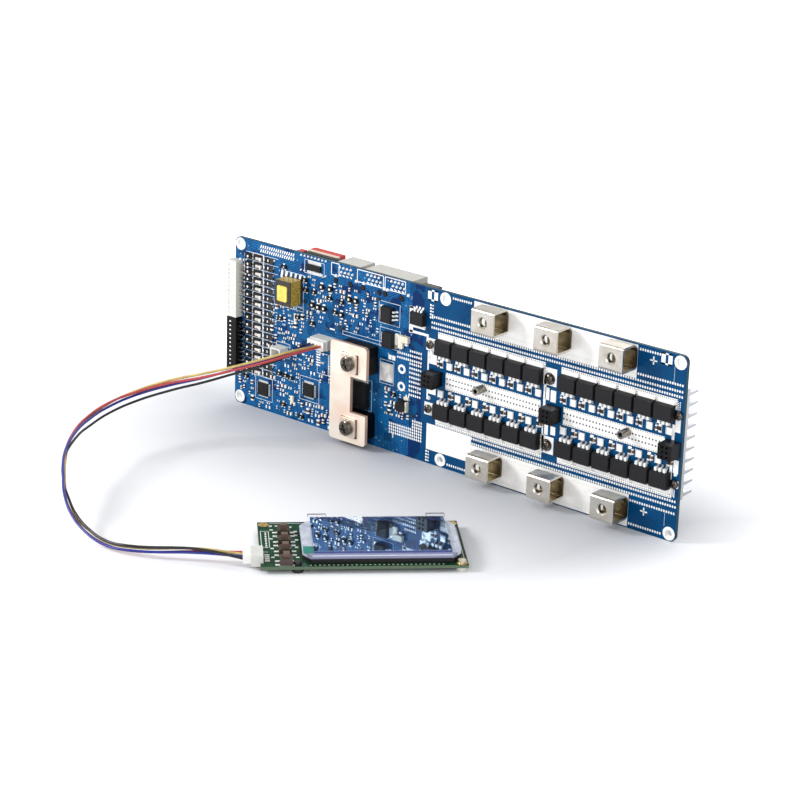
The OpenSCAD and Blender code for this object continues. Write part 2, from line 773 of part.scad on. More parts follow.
// Clear cover with two peel ears past the far edge
module display_cover() {
    low = frame_top + glass_t;
    x = [glass_x[0] + cover_inset, glass_x[1] - cover_inset];
    color("#cfe0ee") display() {
        span(x, [glass_y[0] + cover_inset, glass_y[1]], [low, low + cover_t]);
        for (ear = [ear_left_x, ear_right_x])
            span(ear, [glass_y[1] - 4, ear_y], [low, low + cover_t]);
    }
}

module button_bodies() {
    hole = cap_w + 2 * cap_gap;
    color("#4a4440") display() for (y = button_ys) difference() {
        translate([button_x, y, display_top]) block(button_w, button_w, button_h);
        translate([button_x, y, cap_foot - button_travel - cap_gap]) block(hole, hole, button_h);
    }
}

module button_cap(i) {
    color("#5a5450") display() translate([button_x, button_ys[i], cap_foot])
        block(cap_w, cap_w, cap_top - cap_foot);
}

module button_cap_1() { button_cap(0); }
module button_cap_2() { button_cap(1); }
module button_cap_3() { button_cap(2); }
module button_cap_4() { button_cap(3); }

// Spacers under the display, two of them with their screws
module display_feet() {
    color("#d9d6cc") display() {
        for (p = open_feet) translate([p[0], p[1], 0]) ring(foot_d, display_hole_d, display_rise);
        for (p = screwed_feet) translate([p[0], p[1], 0]) {
            cylinder(d = foot_d, h = display_rise);
            cylinder(d = display_hole_d - 0.2, h = display_top + 0.1);
            translate([0, 0, display_top]) cylinder(d = foot_head_d, h = foot_head_h);
        }
    }
}

// ---------------------------------------------------------------- heat sink

// One extruded comb: each fin tapers from its root to its tip
module heat_sink() {
    low = pad_t;
    root = pad_t + sink_base_t;
    tip = root + fin_depth;
    fins = [for (i = [fin_count - 1:-1:0]) let (z = top_fin_z - i * fin_pitch)
        each [[z - fin_root_t / 2, root], [z - fin_tip_t / 2, tip], [z + fin_tip_t / 2, tip],
            [z + fin_root_t / 2, root]]];
    outline = concat([[sink_z[0], root]], fins,
        [[sink_z[1], root], [sink_z[1], low], [sink_z[0], low]]);
    color("#d4d6d8") difference() {
        rear((sink_x[0] + sink_x[1]) / 2, 0) along(sink_x[1] - sink_x[0], outline);
        for (x = sink_screw_xs, z = sink_screw_zs)
            rear(x, z) translate([0, 0, low - cut])
                cylinder(d = sink_bore_d, h = cut + sink_screw_depth + 0.2);
    }
}

module thermal_pad() {
    color("#9fb4c4") for (x = [[-4, 64], [74, 142]])
        rear((x[0] + x[1]) / 2, (sink_z[0] + sink_z[1]) / 2)
            block(x[1] - x[0], sink_z[1] - sink_z[0] - 6, pad_t);
}

module heat_sink_screws() {
    color("#d6d4ce") for (x = sink_screw_xs, z = sink_screw_zs) front(x, z)
        pan_screw(sink_screw_head_d, sink_screw_head_h, sink_screw_d,
            board_t + pad_t + sink_screw_depth);
}

// ---------------------------------------------------------------- back of the board

// The stepped mouth of a network jack, opening away from the board
module jack_mouth() {
    translate([0, 0.6, jack_out - mouth_deep]) block(mouth_w, mouth_h, mouth_deep + cut);
    translate([0, -mouth_h / 2 + 0.6 - latch_h / 2 + 0.1, jack_out - mouth_deep])
        block(latch_w, latch_h + 0.2, mouth_deep + cut);
}

module network_jack_single() {
    color("#dcd8ce") rear(jack_single_x, jack_z) difference() {
        block(jack_w, jack_h, jack_out);
        jack_mouth();
    }
}

module network_jack_double() {
    mid = (jack_double_x[0] + jack_double_x[1]) / 2;
    color("#dcd8ce") difference() {
        rear(mid, jack_z) block(jack_double_x[1] - jack_double_x[0], jack_h, jack_out);
        for (x = jack_double_xs) rear(x, jack_z) jack_mouth();
    }
}

function slide_x(i) = switch_mid_x + (i - (slider_count - 1) / 2) * slider_pitch;

module address_switch() {
    slot_l = slide_l + slider_travel + 2 * slide_gap;
    color("#c23a2c") difference() {
        rear(switch_mid_x, switch_mid_z) translate([0, 0, switch_base])
            block(switch_x[1] - switch_x[0], switch_z[1] - switch_z[0], switch_h);
        for (i = [0:slider_count - 1])
            rear(slide_x(i), switch_mid_z) translate([0, 0, switch_base + switch_h - slot_deep])
                block(slot_w, slot_l, slot_deep + cut);
    }
}

module address_switch_socket() {
    mid = (switch_socket_x[0] + switch_socket_x[1]) / 2;
    legs = switch_base - switch_socket_h;
    color("#1a1a1c") {
        rear(mid, switch_mid_z) translate([0, 0, legs])
            block(switch_socket_x[1] - switch_socket_x[0], 8.8, switch_socket_h);
        for (i = [0:slider_count - 1], side = [-1, 1])
            rear(slide_x(i), switch_mid_z + side * 3.81) block(0.6, 0.6, legs + 0.1);
    }
}

// A slide at rest at the lower end of its slot
module address_slider(i) {
    color("#f0eee8") rear(slide_x(i), switch_mid_z - slider_travel / 2)
        translate([0, 0, switch_base + switch_h - slot_deep + slide_gap])
            block(slide_w, slide_l, slide_h);
}

module address_slider_1() { address_slider(0); }
module address_slider_2() { address_slider(1); }
module address_slider_3() { address_slider(2); }
module address_slider_4() { address_slider(3); }
module address_slider_5() { address_slider(4); }
module address_slider_6() { address_slider(5); }
module address_slider_7() { address_slider(6); }
module address_slider_8() { address_slider(7); }

module indicators() {
    color("#b03a30") rear((lamp_x[0] + lamp_x[1]) / 2, board_h - 2.4) block(4, 4.8, 4.5);
    color("#7d7a74") rear((bar_lamp_x[0] + bar_lamp_x[1]) / 2, board_h - 2.7) block(11, 5.4, 3.6);
}

// ---------------------------------------------------------------- box headers and studs

module box_headers() {
    s = box_header_size;
    color("#1c1c1e") for (x = box_header_xs) front(x, box_header_z) difference() {
        block(s[0], s[1], s[2]);
        for (sx = [-1, 1], sy = [-1, 0, 1])
            translate([sx * 1.27, sy * 2.54, s[2] - 5]) block(box_hole_w, box_hole_w, 6);
    }
}

module studs() {
    color("#a8a49a") for (p = stud_places) front(p[0], p[1]) translate([0, 0, track_t])
        difference() {
            cylinder(d = stud_d, h = stud_h);
            translate([0, 0, 1]) cylinder(d = stud_bore_d, h = stud_h);
        }
}

main_board();
tinned_tracks();
p_terminal_1();
p_terminal_2();
p_terminal_3();
b_terminal_1();
b_terminal_2();
b_terminal_3();
driver_transistors();
mosfets_upper();
mosfets_lower();
link_bar();
link_posts();
link_screws();
link_washers();
sense_header_white();
sense_header_black();
header_pins();
balance_transistors();
chip_resistors();
small_transistors();
transformer_core();
transformer_coil();
flat_chips();
lead_sockets();
lead_plug();
wire_black();
wire_blue();
wire_yellow();
wire_red();
display_plug();
display_header();
display_board();
display_frame();
display_glass();
display_cover();
button_bodies();
button_cap_1();
button_cap_2();
button_cap_3();
button_cap_4();
display_feet();
heat_sink();
thermal_pad();
heat_sink_screws();
network_jack_single();
network_jack_double();
address_switch();
address_switch_socket();
address_slider_1();
address_slider_2();
address_slider_3();
address_slider_4();
address_slider_5();
address_slider_6();
address_slider_7();
address_slider_8();
indicators();
box_headers();
studs();
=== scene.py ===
import math
import random

import bmesh
import bpy
from mathutils import Matrix, Vector


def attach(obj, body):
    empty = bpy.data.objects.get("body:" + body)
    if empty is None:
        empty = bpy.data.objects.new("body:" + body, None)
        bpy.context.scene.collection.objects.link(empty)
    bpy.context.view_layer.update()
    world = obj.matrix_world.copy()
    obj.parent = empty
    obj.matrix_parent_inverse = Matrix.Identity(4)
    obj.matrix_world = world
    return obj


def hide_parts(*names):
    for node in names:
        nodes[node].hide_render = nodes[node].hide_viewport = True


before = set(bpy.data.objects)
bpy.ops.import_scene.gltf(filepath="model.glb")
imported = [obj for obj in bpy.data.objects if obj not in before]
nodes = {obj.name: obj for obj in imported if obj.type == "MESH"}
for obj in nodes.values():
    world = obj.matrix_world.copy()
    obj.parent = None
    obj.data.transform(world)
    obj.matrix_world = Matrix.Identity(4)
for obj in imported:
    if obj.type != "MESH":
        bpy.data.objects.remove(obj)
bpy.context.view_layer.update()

MM = 0.001

# ---------------------------------------------------------------- the bench, the lamps and the camera
# The board stands on its long lower edge on a pale bench with no visible end.
# A long lens looks down on its component side from the right.

AIM = Vector((-57, 34, 14.6)) * MM
CAMERA_DISTANCE = 1343 * MM
CAMERA_AZIMUTH = math.radians(38.99)
CAMERA_ELEVATION = math.radians(19.85)
CAMERA_ROLL = math.radians(1.7)


def look_at(at, distance, azimuth, elevation, roll=0.0):
    """World matrix of something that looks at a point: azimuth from the board's front towards its right."""
    back = Vector((math.sin(azimuth) * math.cos(elevation), -math.cos(azimuth) * math.cos(elevation),
                   math.sin(elevation)))
    turn = back.to_track_quat("Z", "Y").to_matrix().to_4x4()
    return Matrix.Translation(at + back * distance) @ turn @ Matrix.Rotation(roll, 4, "Z")


camera = bpy.data.objects.new("camera", bpy.data.cameras.new("camera"))
bpy.context.scene.collection.objects.link(camera)
camera.data.lens = 108.46
camera.data.sensor_width = 36
camera.data.clip_end = 20
camera.matrix_world = look_at(AIM, CAMERA_DISTANCE, CAMERA_AZIMUTH, CAMERA_ELEVATION, CAMERA_ROLL)
bpy.context.scene.camera = camera


def soft_lamp(name, at, aim, size, power):
    """A square studio lamp of the given size, pointed at a place on the object."""
    lamp = bpy.data.objects.new(name, bpy.data.lights.new(name, "AREA"))
    bpy.context.scene.collection.objects.link(lamp)
    lamp.data.size = size
    lamp.data.energy = power
    towards = Vector(at) - Vector(aim)
    lamp.matrix_world = Matrix.Translation(at) @ towards.to_track_quat("Z", "Y").to_matrix().to_4x4()


soft_lamp("lamp_left", (-1.0, -0.95, 0.8), (0, 0, 0.05), 0.4, 17)
soft_lamp("lamp_front_right", (0.9, -1.3, 0.7), (0, 0, 0.05), 1.2, 9)
soft_lamp("lamp_behind", (-0.2, 1.1, 1.0), (0, 0, 0.05), 1.0, 7)


def finish(name, colour, roughness, metallic=0.0, **more):
    """A material with its shader set. Detail is added to it by the section that makes it."""
    made = bpy.data.materials.new(name)
    made.use_nodes = True
    shader = made.node_tree.nodes["Principled BSDF"]
    shader.inputs["Base Color"].default_value = (*colour, 1)
    shader.inputs["Roughness"].default_value = roughness
    shader.inputs["Metallic"].default_value = metallic
    for socket, value in more.items():
        shader.inputs[socket.replace("_", " ")].default_value = value
    return made


def node(kind, tree=None, **sockets):
    """A shader node with its sockets set or linked, in the tree of whatever feeds it.

    A value in words is one of the node's own settings.
    """
    for value in sockets.values():
        if isinstance(value, bpy.types.NodeSocket):
            tree = value.id_data
    made = tree.nodes.new("ShaderNode" + kind)
    for key, value in sockets.items():
        if isinstance(value, str):
            setattr(made, key.lower(), value)
    for key, value in sockets.items():
        if isinstance(value, str):
            continue
        socket = made.inputs[int(key[1:])] if key[0] == "i" and key[1:].isdigit() else made.inputs[key]
        if isinstance(value, bpy.types.NodeSocket):
            tree.links.new(value, socket)
        else:
            socket.default_value = value
    return made


def maths(operation, a, b=0.0, c=0.0):
    """The result of one calculation on numbers or sockets."""
    return node("Math", Operation=operation, i0=a, i1=b, i2=c).outputs[0]


def times(a, b):
    return maths("MULTIPLY", a, b)


def ramp(value, over=(0.0, 1.0), to=(0.0, 1.0)):
    """A value carried from one range to another, and held at its ends."""
    made = node("MapRange", i0=value, i1=over[0], i2=over[1], i3=to[0], i4=to[1])
    return made.outputs[0]


def blend(share, first, second):
    """A colour between two, by a share from 0 to 1."""
    ends = [end if isinstance(end, bpy.types.NodeSocket) else (*end, 1) for end in (first, second)]
    return node("Mix", Data_Type="RGBA", i0=share, i6=ends[0], i7=ends[1]).outputs[2]


def place(material):
    """X, Y and Z on the object in millimetres, as three sockets, and the whole as a fourth."""
    where = node("TexCoord", material.node_tree).outputs["Object"]
    scaled = node("VectorMath", Operation="SCALE", Vector=where, Scale=1000.0).outputs[0]
    parts = node("SeparateXYZ", Vector=scaled)
    return parts.outputs[0], parts.outputs[1], parts.outputs[2], scaled


def connect(material, socket, value):
    """Feeds one of the shader's inputs."""
    shader = material.node_tree.nodes["Principled BSDF"]
    material.node_tree.links.new(value, shader.inputs[socket])


def paint(material, colour):
    connect(material, "Base Color", colour)


bench = bmesh.new()
bmesh.ops.create_grid(bench, x_segments=1, y_segments=1, size=4)
bench_mesh = bpy.data.meshes.new("bench")
bench.to_mesh(bench_mesh)
bench.free()
floor = bpy.data.objects.new("bench", bench_mesh)
bpy.context.scene.collection.objects.link(floor)
floor_finish = finish("bench_white", (0.86, 0.87, 0.9), 0.9, Emission_Color=(1, 1, 1, 1))
# Painted shade: a soft grey is painted on it in front of the board, where the board shades it. Further off,
# the camera sees it as white as the world.
across, deep, _, spot = place(floor_finish)
ahead = maths("POWER", ramp(deep, over=(-120, -8)), 1.6)
beside = ramp(maths("ABSOLUTE", across), over=(250, 130))
with_painted_shade = blend(times(ahead, beside), (0.88, 0.89, 0.92), (0.5, 0.52, 0.56))
paint(floor_finish, with_painted_shade)
off_centre = node("VectorMath", Operation="ADD", i0=spot, i1=(30, 30, 0)).outputs[0]
distance = node("VectorMath", Operation="LENGTH", i0=off_centre).outputs[1]
far_off = maths("MAXIMUM", ramp(distance, over=(150, 290)), ramp(deep, over=(0, 130)))
seen = node("LightPath", floor_finish.node_tree).outputs["Is Camera Ray"]
connect(floor_finish, "Emission Strength", times(far_off, seen))
floor.data.materials.append(floor_finish)

world = bpy.data.worlds.new("studio")
bpy.context.scene.world = world
world.use_nodes = True
sky = world.node_tree.nodes["Background"]
sky.inputs["Color"].default_value = (1, 1, 1, 1)
rays = world.node_tree.nodes.new("ShaderNodeLightPath")
bright = world.node_tree.nodes.new("ShaderNodeMapRange")
bright.inputs["To Min"].default_value = 0.6
world.node_tree.links.new(rays.outputs["Is Camera Ray"], bright.inputs["Value"])
world.node_tree.links.new(bright.outputs[0], sky.inputs["Strength"])
bpy.context.scene.view_settings.view_transform = "Standard"

# ---------------------------------------------------------------- the lead between board and display
# Four thin stranded wires in soft insulation, crimped into a plug at each end.
# They leave the board's plug straight out, swing down in a loose curve and run back along the bench.

WIRE_DIAMETER = 1.4 * MM
LEAD_ROUTE = [
    (-81.2, -11, 52), (-81.2, -19, 52.2), (-82.5, -29, 51.5), (-87, -39, 49.2), (-103, -55, 42.8),
    (-116.5, -64.5, 38), (-129.5, -74, 34), (-141.5, -89, 29), (-144, -105, 26.5), (-141, -123, 24),
    (-131.5, -143, 22.5), (-118.5, -160, 19), (-100.5, -178, 16), (-88, -189, 13), (-78, -194, 9),
    (-66, -197, 5), (-51, -198, 2.4), (-36.5, -195.8, 3), (-5.6, -177.6, 5.4), (12.1, -167.95, 5.3),
]
DISPLAY_TURN = math.radians(44.6)
WIRES = {
    "black": [(3.7, 0), (3.5, -0.2), (2, -1.6), (0.8, -1.8), (0, -2.1), (0, -3), (0, -3.9), (0, -4.4),
              (0, -4.7), (-0.6, -3.8), (-1.1, -1.4), (1.3, -0.5), (0.8, -0.8), (-1.3, -0.7),
              (-1.1, 0.4), (-0.5, 1.2), (0.2, 1.6), (0.6, 1.9), (1.3, 1.3), (3.7, 0)],
    "blue": [(1.2, 0), (1.2, 0), (1.2, 0.1), (1.3, 0.1), (1.2, -0.2), (1, -0.8), (0.6, -1.2),
             (0.4, -1.2), (0, -1.1), (-0.8, 0.2), (-0.8, 1.4), (1, 2.6), (1, 2.3), (0.9, 1.8),
             (1.3, 0.7), (1.3, 0.1), (1.2, -0.2), (1.2, -0.2), (1.1, -0.6), (1.2, 0)],
    "yellow": [(-1.3, 0), (-1.2, 0.3), (-0.8, 1.2), (-0.3, 1.7), (0, 1.8), (0.2, 1.9), (0.8, 1.5),
               (1.2, 0.7), (1.2, 0), (1.4, -0.5), (1.5, -2), (0.9, -2.5), (0.2, -2.4), (-0.2, -2.4),
               (-1, -1.7), (-1.5, -0.4), (-1.2, 0.4), (-1.1, 0.5), (-0.6, 0.8), (-1.3, 0)],
    "red": [(-3.8, 0), (-3.2, 0), (-2.3, 0.2), (-1.6, 0.2), (-1.2, 0.3), (-1.1, 0.3), (-0.7, 0.5),
            (-0.4, 0.7), (0, 1.1), (0.7, 1), (0.8, 0.4), (1.1, 1.1), (0.9, 0.8), (0.5, 0.2),
            (0.4, -0.5), (0.2, -1), (-0.5, -1.1), (-0.5, -1.1), (-1.2, -0.8), (-3.8, 0)],
}
WIRE_COLOURS = {"black": (0.01, 0.01, 0.012), "blue": (0.012, 0.022, 0.26), "yellow": (0.66, 0.5, 0.16),
                "red": (0.52, 0.06, 0.065)}


def speckle(spot, scale, detail=3.0, low=0.4, high=0.6):
    """Noise from 0 to 1 at a scale in cycles per millimetre."""
    noise = node("TexNoise", Vector=spot, Scale=scale, Detail=detail).outputs[0]
    return ramp(noise, over=(low, high))


def gloss(material, share, sharp, dull):
    """Roughness between two values, by a share from 0 to 1."""
    connect(material, "Roughness", ramp(share, to=(sharp, dull)))


def bump(material, height, depth):
    """Surface relief of a depth in millimetres."""
    made = node("Bump", Height=height, Distance=depth * MM, Strength=1.0)
    connect(material, "Normal", made.outputs[0])


def worn(name, colour, roughness, metallic=0.0, shade=0.85, grain=2.0, depth=0.0, **more):
    """A finish whose colour and gloss vary a little over the surface, with optional fine relief."""
    made = finish(name, colour, roughness, metallic, **more)
    spots = speckle(place(made)[3], grain)
    paint(made, blend(spots, [c * shade for c in colour], colour))
    gloss(made, spots, roughness * 0.85, min(1, roughness * 1.15))
    if depth:
        bump(made, spots, depth)
    return made


def heading(i):
    """Direction of the lead at a point: square to the plugs at its ends."""
    if i == 0:
        return Vector((0, -1, 0))
    if i == len(LEAD_ROUTE) - 1:
        return Vector((math.cos(DISPLAY_TURN), math.sin(DISPLAY_TURN), 0))
    return (Vector(LEAD_ROUTE[i + 1]) - Vector(LEAD_ROUTE[i - 1])).normalized()


def wire_points(offsets):
    """A wire's own route: the lead's, shifted sideways and upwards at each point."""
    points = []
    for i, (aside, lift) in enumerate(offsets):
        side = heading(i).cross(Vector((0, 0, 1))).normalized()
        up = side.cross(heading(i))
        points.append((Vector(LEAD_ROUTE[i]) + side * aside + up * lift) * MM)
    return points


for colour_name, offsets in WIRES.items():
    points = wire_points(offsets)
    curve = bpy.data.curves.new("lead_wire_" + colour_name, "CURVE")
    curve.dimensions = "3D"
    curve.bevel_depth = WIRE_DIAMETER / 2
    curve.bevel_resolution = 3
    curve.resolution_u = 8
    curve.use_fill_caps = True
    spline = curve.splines.new("BEZIER")
    spline.bezier_points.add(len(points) - 1)
    for knot, at in zip(spline.bezier_points, points):
        knot.co = at
        knot.handle_left_type = knot.handle_right_type = "AUTO"
    wire = bpy.data.objects.new("lead_wire_" + colour_name, curve)
    bpy.context.scene.collection.objects.link(wire)
    curve.materials.append(worn("insulation_" + colour_name, WIRE_COLOURS[colour_name], 0.38, shade=0.8,
                                grain=0.25))
    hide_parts("wire_" + colour_name)
    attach(wire, "root")

# ---------------------------------------------------------------- the main board
# A long board of glass-fibre laminate, two millimetres thick, with copper tracks under blue solder mask.
# Its six fixing holes are ringed with bare tinned copper, and white ink marks its outlines and poles.

BOARD_HALF = 1.0


def tint(red, green, blue):
    """A colour given as a screen shows it, turned into the share of light that it sends back."""
    return tuple((level / 255) ** 2.2 for level in (red, green, blue))


def dress(material, *names):
    """Gives CAD nodes their finish."""
    for name in names:
        mesh = nodes[name].data
        mesh.materials.clear()
        mesh.materials.append(material)


def minus(a, b):
    return maths("SUBTRACT", a, b)


def above(value, limit):
    """1 where a value is over a limit."""
    return maths("GREATER_THAN", value, limit)


def below(value, limit):
    """1 where a value is under a limit."""
    return maths("LESS_THAN", value, limit)


def stripes(where, pitch, share, start=0.0):
    """1 on evenly spaced bands across a coordinate and 0 between them."""
    turns = maths("DIVIDE", minus(where, start), pitch)
    return below(maths("FRACT", turns), share)


board_blue = finish("board_blue", tint(24, 80, 138), 0.3, Specular_IOR_Level=0.12)
x, y, z, spot = place(board_blue)
clouds = speckle(spot, 0.05, low=0.3, high=0.7)
plain_blue = blend(clouds, tint(5, 64, 106), tint(9, 74, 118))
cells = node("TexVoronoi", Vector=spot, Scale=0.17, Distance="CHEBYCHEV").outputs["Color"]
kind = node("SeparateColor", Color=cells).outputs[0]
upright = times(above(kind, 0.6), stripes(x, 0.95, 0.45))
level = times(below(kind, 0.4), stripes(z, 0.95, 0.45))
tracks = times(maths("MAXIMUM", upright, level), below(x, -22.0))
pours = times(speckle(spot, 0.12, 1.0, 0.49, 0.5), below(x, -14.0))
left_blue = blend(pours, plain_blue, tint(3, 46, 92))
tracked = blend(tracks, left_blue, tint(34, 108, 166))
vias = node("TexVoronoi", Vector=spot, Scale=0.3).outputs["Distance"]
via_dots = times(below(vias, 0.1), below(x, -14.0))
dotted = blend(via_dots, tracked, tint(198, 204, 206))
rim = below(maths("ABSOLUTE", y), BOARD_HALF - 0.02)
paint(board_blue, blend(rim, dotted, tint(52, 78, 84)))
gloss(board_blue, clouds, 0.26, 0.36)
bump(board_blue, maths("ADD", tracks, pours), 0.03)
dress(board_blue, "main_board")


def brick(shape, x, z, width, height, low, high, side=-1, lean=0.0):
    """A block on the board from one height over it to another: side -1 is the parts' side, 1 the back."""
    corners = bmesh.ops.create_cube(shape, size=1)["verts"]
    bmesh.ops.scale(shape, vec=(width, high - low, height), verts=corners)
    if lean:
        bmesh.ops.rotate(shape, matrix=Matrix.Rotation(math.radians(lean), 3, "Y"), verts=corners)
    bmesh.ops.translate(shape, vec=(x, side * (BOARD_HALF + (low + high) / 2), z), verts=corners)


def ring(shape, x, z, outer, inner, low, high, side=-1, sides=24):
    """A flat ring on the board, spun from its square section."""
    section = [shape.verts.new((x + across / 2, side * (BOARD_HALF + out), z))
               for across, out in ((inner, low), (outer, low), (outer, high), (inner, high))]
    edges = [shape.edges.new((section[i], section[(i + 1) % 4])) for i in range(4)]
    bmesh.ops.spin(shape, geom=section + edges, cent=(x, 0, z), axis=(0, 1, 0), dvec=(0, 0, 0),
                   angle=math.tau, steps=sides, use_merge=True, use_duplicate=False)


def keep(name, shape, material, smooth=False):
    """Finishes a fixed piece drawn in millimetres: its normals, mesh, material, slot and body."""
    bmesh.ops.remove_doubles(shape, verts=shape.verts, dist=0.0001)
    bmesh.ops.recalc_face_normals(shape, faces=shape.faces)
    bmesh.ops.scale(shape, vec=(MM, MM, MM), verts=shape.verts)
    mesh = bpy.data.meshes.new(name)
    shape.to_mesh(mesh)
    shape.free()
    mesh.materials.append(material)
    if smooth:
        mesh.shade_smooth()
    piece = bpy.data.objects.new(name, mesh)
    bpy.context.scene.collection.objects.link(piece)
    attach(piece, "root")


BANK_XS = (2, 82)
BANK_COUNT = 6
FET_PITCH = 11.6
fet_xs = [bank_x + FET_PITCH * i for bank_x in BANK_XS for i in range(BANK_COUNT)]
FIXING_XS = (-146, 0, 146)
FIXING_ZS = (4, 94)
bright_tin = worn("bright_tin", tint(250, 250, 248), 0.42, 0.15, shade=0.95, grain=1.2, depth=0.02)
pads = bmesh.new()
for fixing_x in FIXING_XS:
    for fixing_z in FIXING_ZS:
        for side in (-1, 1):
            ring(pads, fixing_x, fixing_z, 7.2, 3.9, 0, 0.05, side)
        ring(pads, fixing_x, fixing_z, 4.02, 3.8, -2, 0.05)
keep("fixing_rings", pads, bright_tin)

# White ink, screened on last: outlines of parts, the cell ladder, the poles' signs and the frames
# at the ends of the power half.
ink_white = worn("ink_white", tint(244, 245, 246), 0.6, shade=0.95, grain=2.5)
ink = bmesh.new()
INK_H = 0.03
CELL_COUNT = 16
CELL_PITCH = 4.43
CELL_TOP_Z = 88.5
cell_zs = [CELL_TOP_Z - i * CELL_PITCH for i in range(CELL_COUNT)]
ladder_mid = CELL_TOP_Z - (CELL_COUNT - 1) / 2 * CELL_PITCH
for ladder_x, ladder_w in ((-136.5, 0.8), (-128.7, 1.0), (-127.5, 0.25)):
    brick(ink, ladder_x, ladder_mid, ladder_w, CELL_COUNT * CELL_PITCH, 0, INK_H)
for cell_z in cell_zs + [CELL_TOP_Z - CELL_COUNT * CELL_PITCH]:
    brick(ink, -132.6, cell_z + CELL_PITCH / 2, 8.6, 0.45, 0, INK_H)
    brick(ink, -122.5, cell_z + CELL_PITCH / 2, 9.0, 0.2, 0, INK_H)
    brick(ink, -139.4, cell_z + CELL_PITCH / 2, 5.4, 0.25, 0, INK_H)


def outline(shape, x_from, x_to, z_from, z_to, line):
    """The inked frame of a part."""
    mid_x, mid_z = (x_from + x_to) / 2, (z_from + z_to) / 2
    for at_x in (x_from, x_to):
        brick(shape, at_x, mid_z, line, z_to - z_from, 0, INK_H)
    for at_z in (z_from, z_to):
        brick(shape, mid_x, at_z, x_to - x_from + line, line, 0, INK_H)


for frame_x, frame_w in ((-8.5, 6.6), (138, 6.4)):
    for shift in (-frame_w / 2 + 1.2, frame_w / 2 - 1.2):
        brick(ink, frame_x + shift, 94, 2.4, 6, 0, INK_H)
    for frame_z in (91.4, 96.6):
        brick(ink, frame_x, frame_z, frame_w, 0.8, 0, INK_H)
for sign_x, sign_z in ((130.4, 91.4), (130.4, 11.4)):
    brick(ink, sign_x, sign_z, 4.2, 0.75, 0, INK_H)
    brick(ink, sign_x, sign_z, 0.75, 4.2, 0, INK_H)
for stroke in ((-77.6, 59.6, 3.6, 0.8), (-33, 9.6, 0.8, 3), (142.9, 87.2, 0.12, 9), (142.9, 11, 0.12, 7.5),
               (-22.6, 77.8, 2.6, 15), (-17, 71.4, 13, 1.4), (-22, 84.6, 4, 1.2), (-10.2, 49.5, 0.9, 27)):
    brick(ink, *stroke, 0, INK_H)
for box in ((-88, -80, 32, 44), (-79.5, -72.5, 28, 44), (-100.5, -86.5, 13.8, 27.6), (-134, -121.2, 6, 19.6),
            (-112.5, -99, 67, 85.5), (-98.4, -84.2, 87.6, 95.2), (-71, -58, 2.4, 20), (-70, -41, 58.6, 60.6),
            (-65.5, -48.5, 19, 36.6), (-43.2, -33.6, 37.6, 51), (-44.8, -30.4, 71.4, 83.6),
            (-43.8, -29.8, 58.2, 69), (-120.4, -98.6, 64.6, 66.4), (-118.4, -108.4, 35, 43.4)):
    outline(ink, *box, line=0.22)
for jack_frame in ((-79, -73.6), (-60.6, -42.4), (-41.2, -27.2)):
    outline(ink, *jack_frame, 90.6, 97.4, line=0.45)
for fet_x in fet_xs:
    for off_x, line_z, line_h in ((0.25, 57.9, 4.6), (-5.05, 41.2, 4.6), (-5.7, 58, 4.8)):
        brick(ink, fet_x + off_x, line_z, 0.3, line_h, 0, INK_H)
keep("board_ink", ink, ink_white)

# A blank paper label, stuck on the lower left corner of the power half.
label_paper = worn("label_paper", tint(246, 246, 248), 0.55, shade=0.97, grain=0.8)
label = bmesh.new()
brick(label, 5.2, 15.3, 30, 14.6, 0, 0.12)
keep("blank_label", label, label_paper)

# ---------------------------------------------------------------- bare solder on the board
# Wide copper tracks are left free of mask and flooded with solder, so that they carry the battery's current.
# Rows of plated holes stitch both faces together along them.

solder = finish("flooded_solder", tint(250, 248, 243), 0.42, 0.12)
x, y, z, spot = place(solder)
pools = speckle(spot, 0.35, 3.0, 0.3, 0.7)
silver = blend(pools, tint(247, 245, 240), tint(254, 253, 250))
plate = below(x, -30.0)
mottling = times(plate, speckle(spot, 0.2))
pierced = blend(mottling, silver, tint(206, 204, 202))


def between(where, low, high):
    """1 where a coordinate lies between two values."""
    return times(above(where, low), below(where, high))


def dot_grid(across, up, pitch, radius, start=(0.0, 0.0)):
    """1 inside round dots on a grid with its own pitch each way."""
    squares = []
    for where, step, first in zip((across, up), pitch, start):
        turns = maths("FRACT", maths("DIVIDE", minus(where, first), step))
        off = times(minus(turns, 0.5), step)
        squares.append(times(off, off))
    return below(maths("ADD", *squares), radius * radius)


def solder_holes(pitch, radius, start, z_to, strength):
    """Rows of small dark holes in one band of the solder, from the height at which the grid starts."""
    dots = dot_grid(x, z, pitch, radius, start)
    holes = times(dots, minus(1.0, plate))
    return times(times(holes, between(z, start[1], z_to)), strength)


# Pitches, radius, start, top and strength of each band of holes.
HOLE_ROWS = (((1.25, 1.25), 0.36, (0, 71.3), 75.2, 0.85), ((1.25, 1.25), 0.36, (0.6, 22.9), 25.5, 0.85),
             ((2, 2.9), 0.52, (0, 46.4), 52.2, 0.97), ((1.4, 1.4), 0.36, (0.3, 52.9), 54.2, 0.7),
             ((1.4, 1.4), 0.36, (0.3, 44.3), 45.7, 0.7), ((1.45, 1.5), 0.26, (0, 94.8), 96.3, 0.3),
             ((1.45, 1.5), 0.26, (0, 81.9), 83.4, 0.3), ((1.45, 1.5), 0.26, (0, 1.9), 3.4, 0.3),
             ((1.45, 1.5), 0.26, (0, 15.2), 16.7, 0.35))
for hole_row in HOLE_ROWS:
    pierced = blend(solder_holes(*hole_row), pierced, tint(46, 52, 66))
paint(solder, pierced)
bump(solder, pools, 0.06)
dress(solder, "tinned_tracks")

# Rows of solder beads between the tracks, each on its own plated hole.
DOT_PITCH = 1.45
solder_dots = bmesh.new()


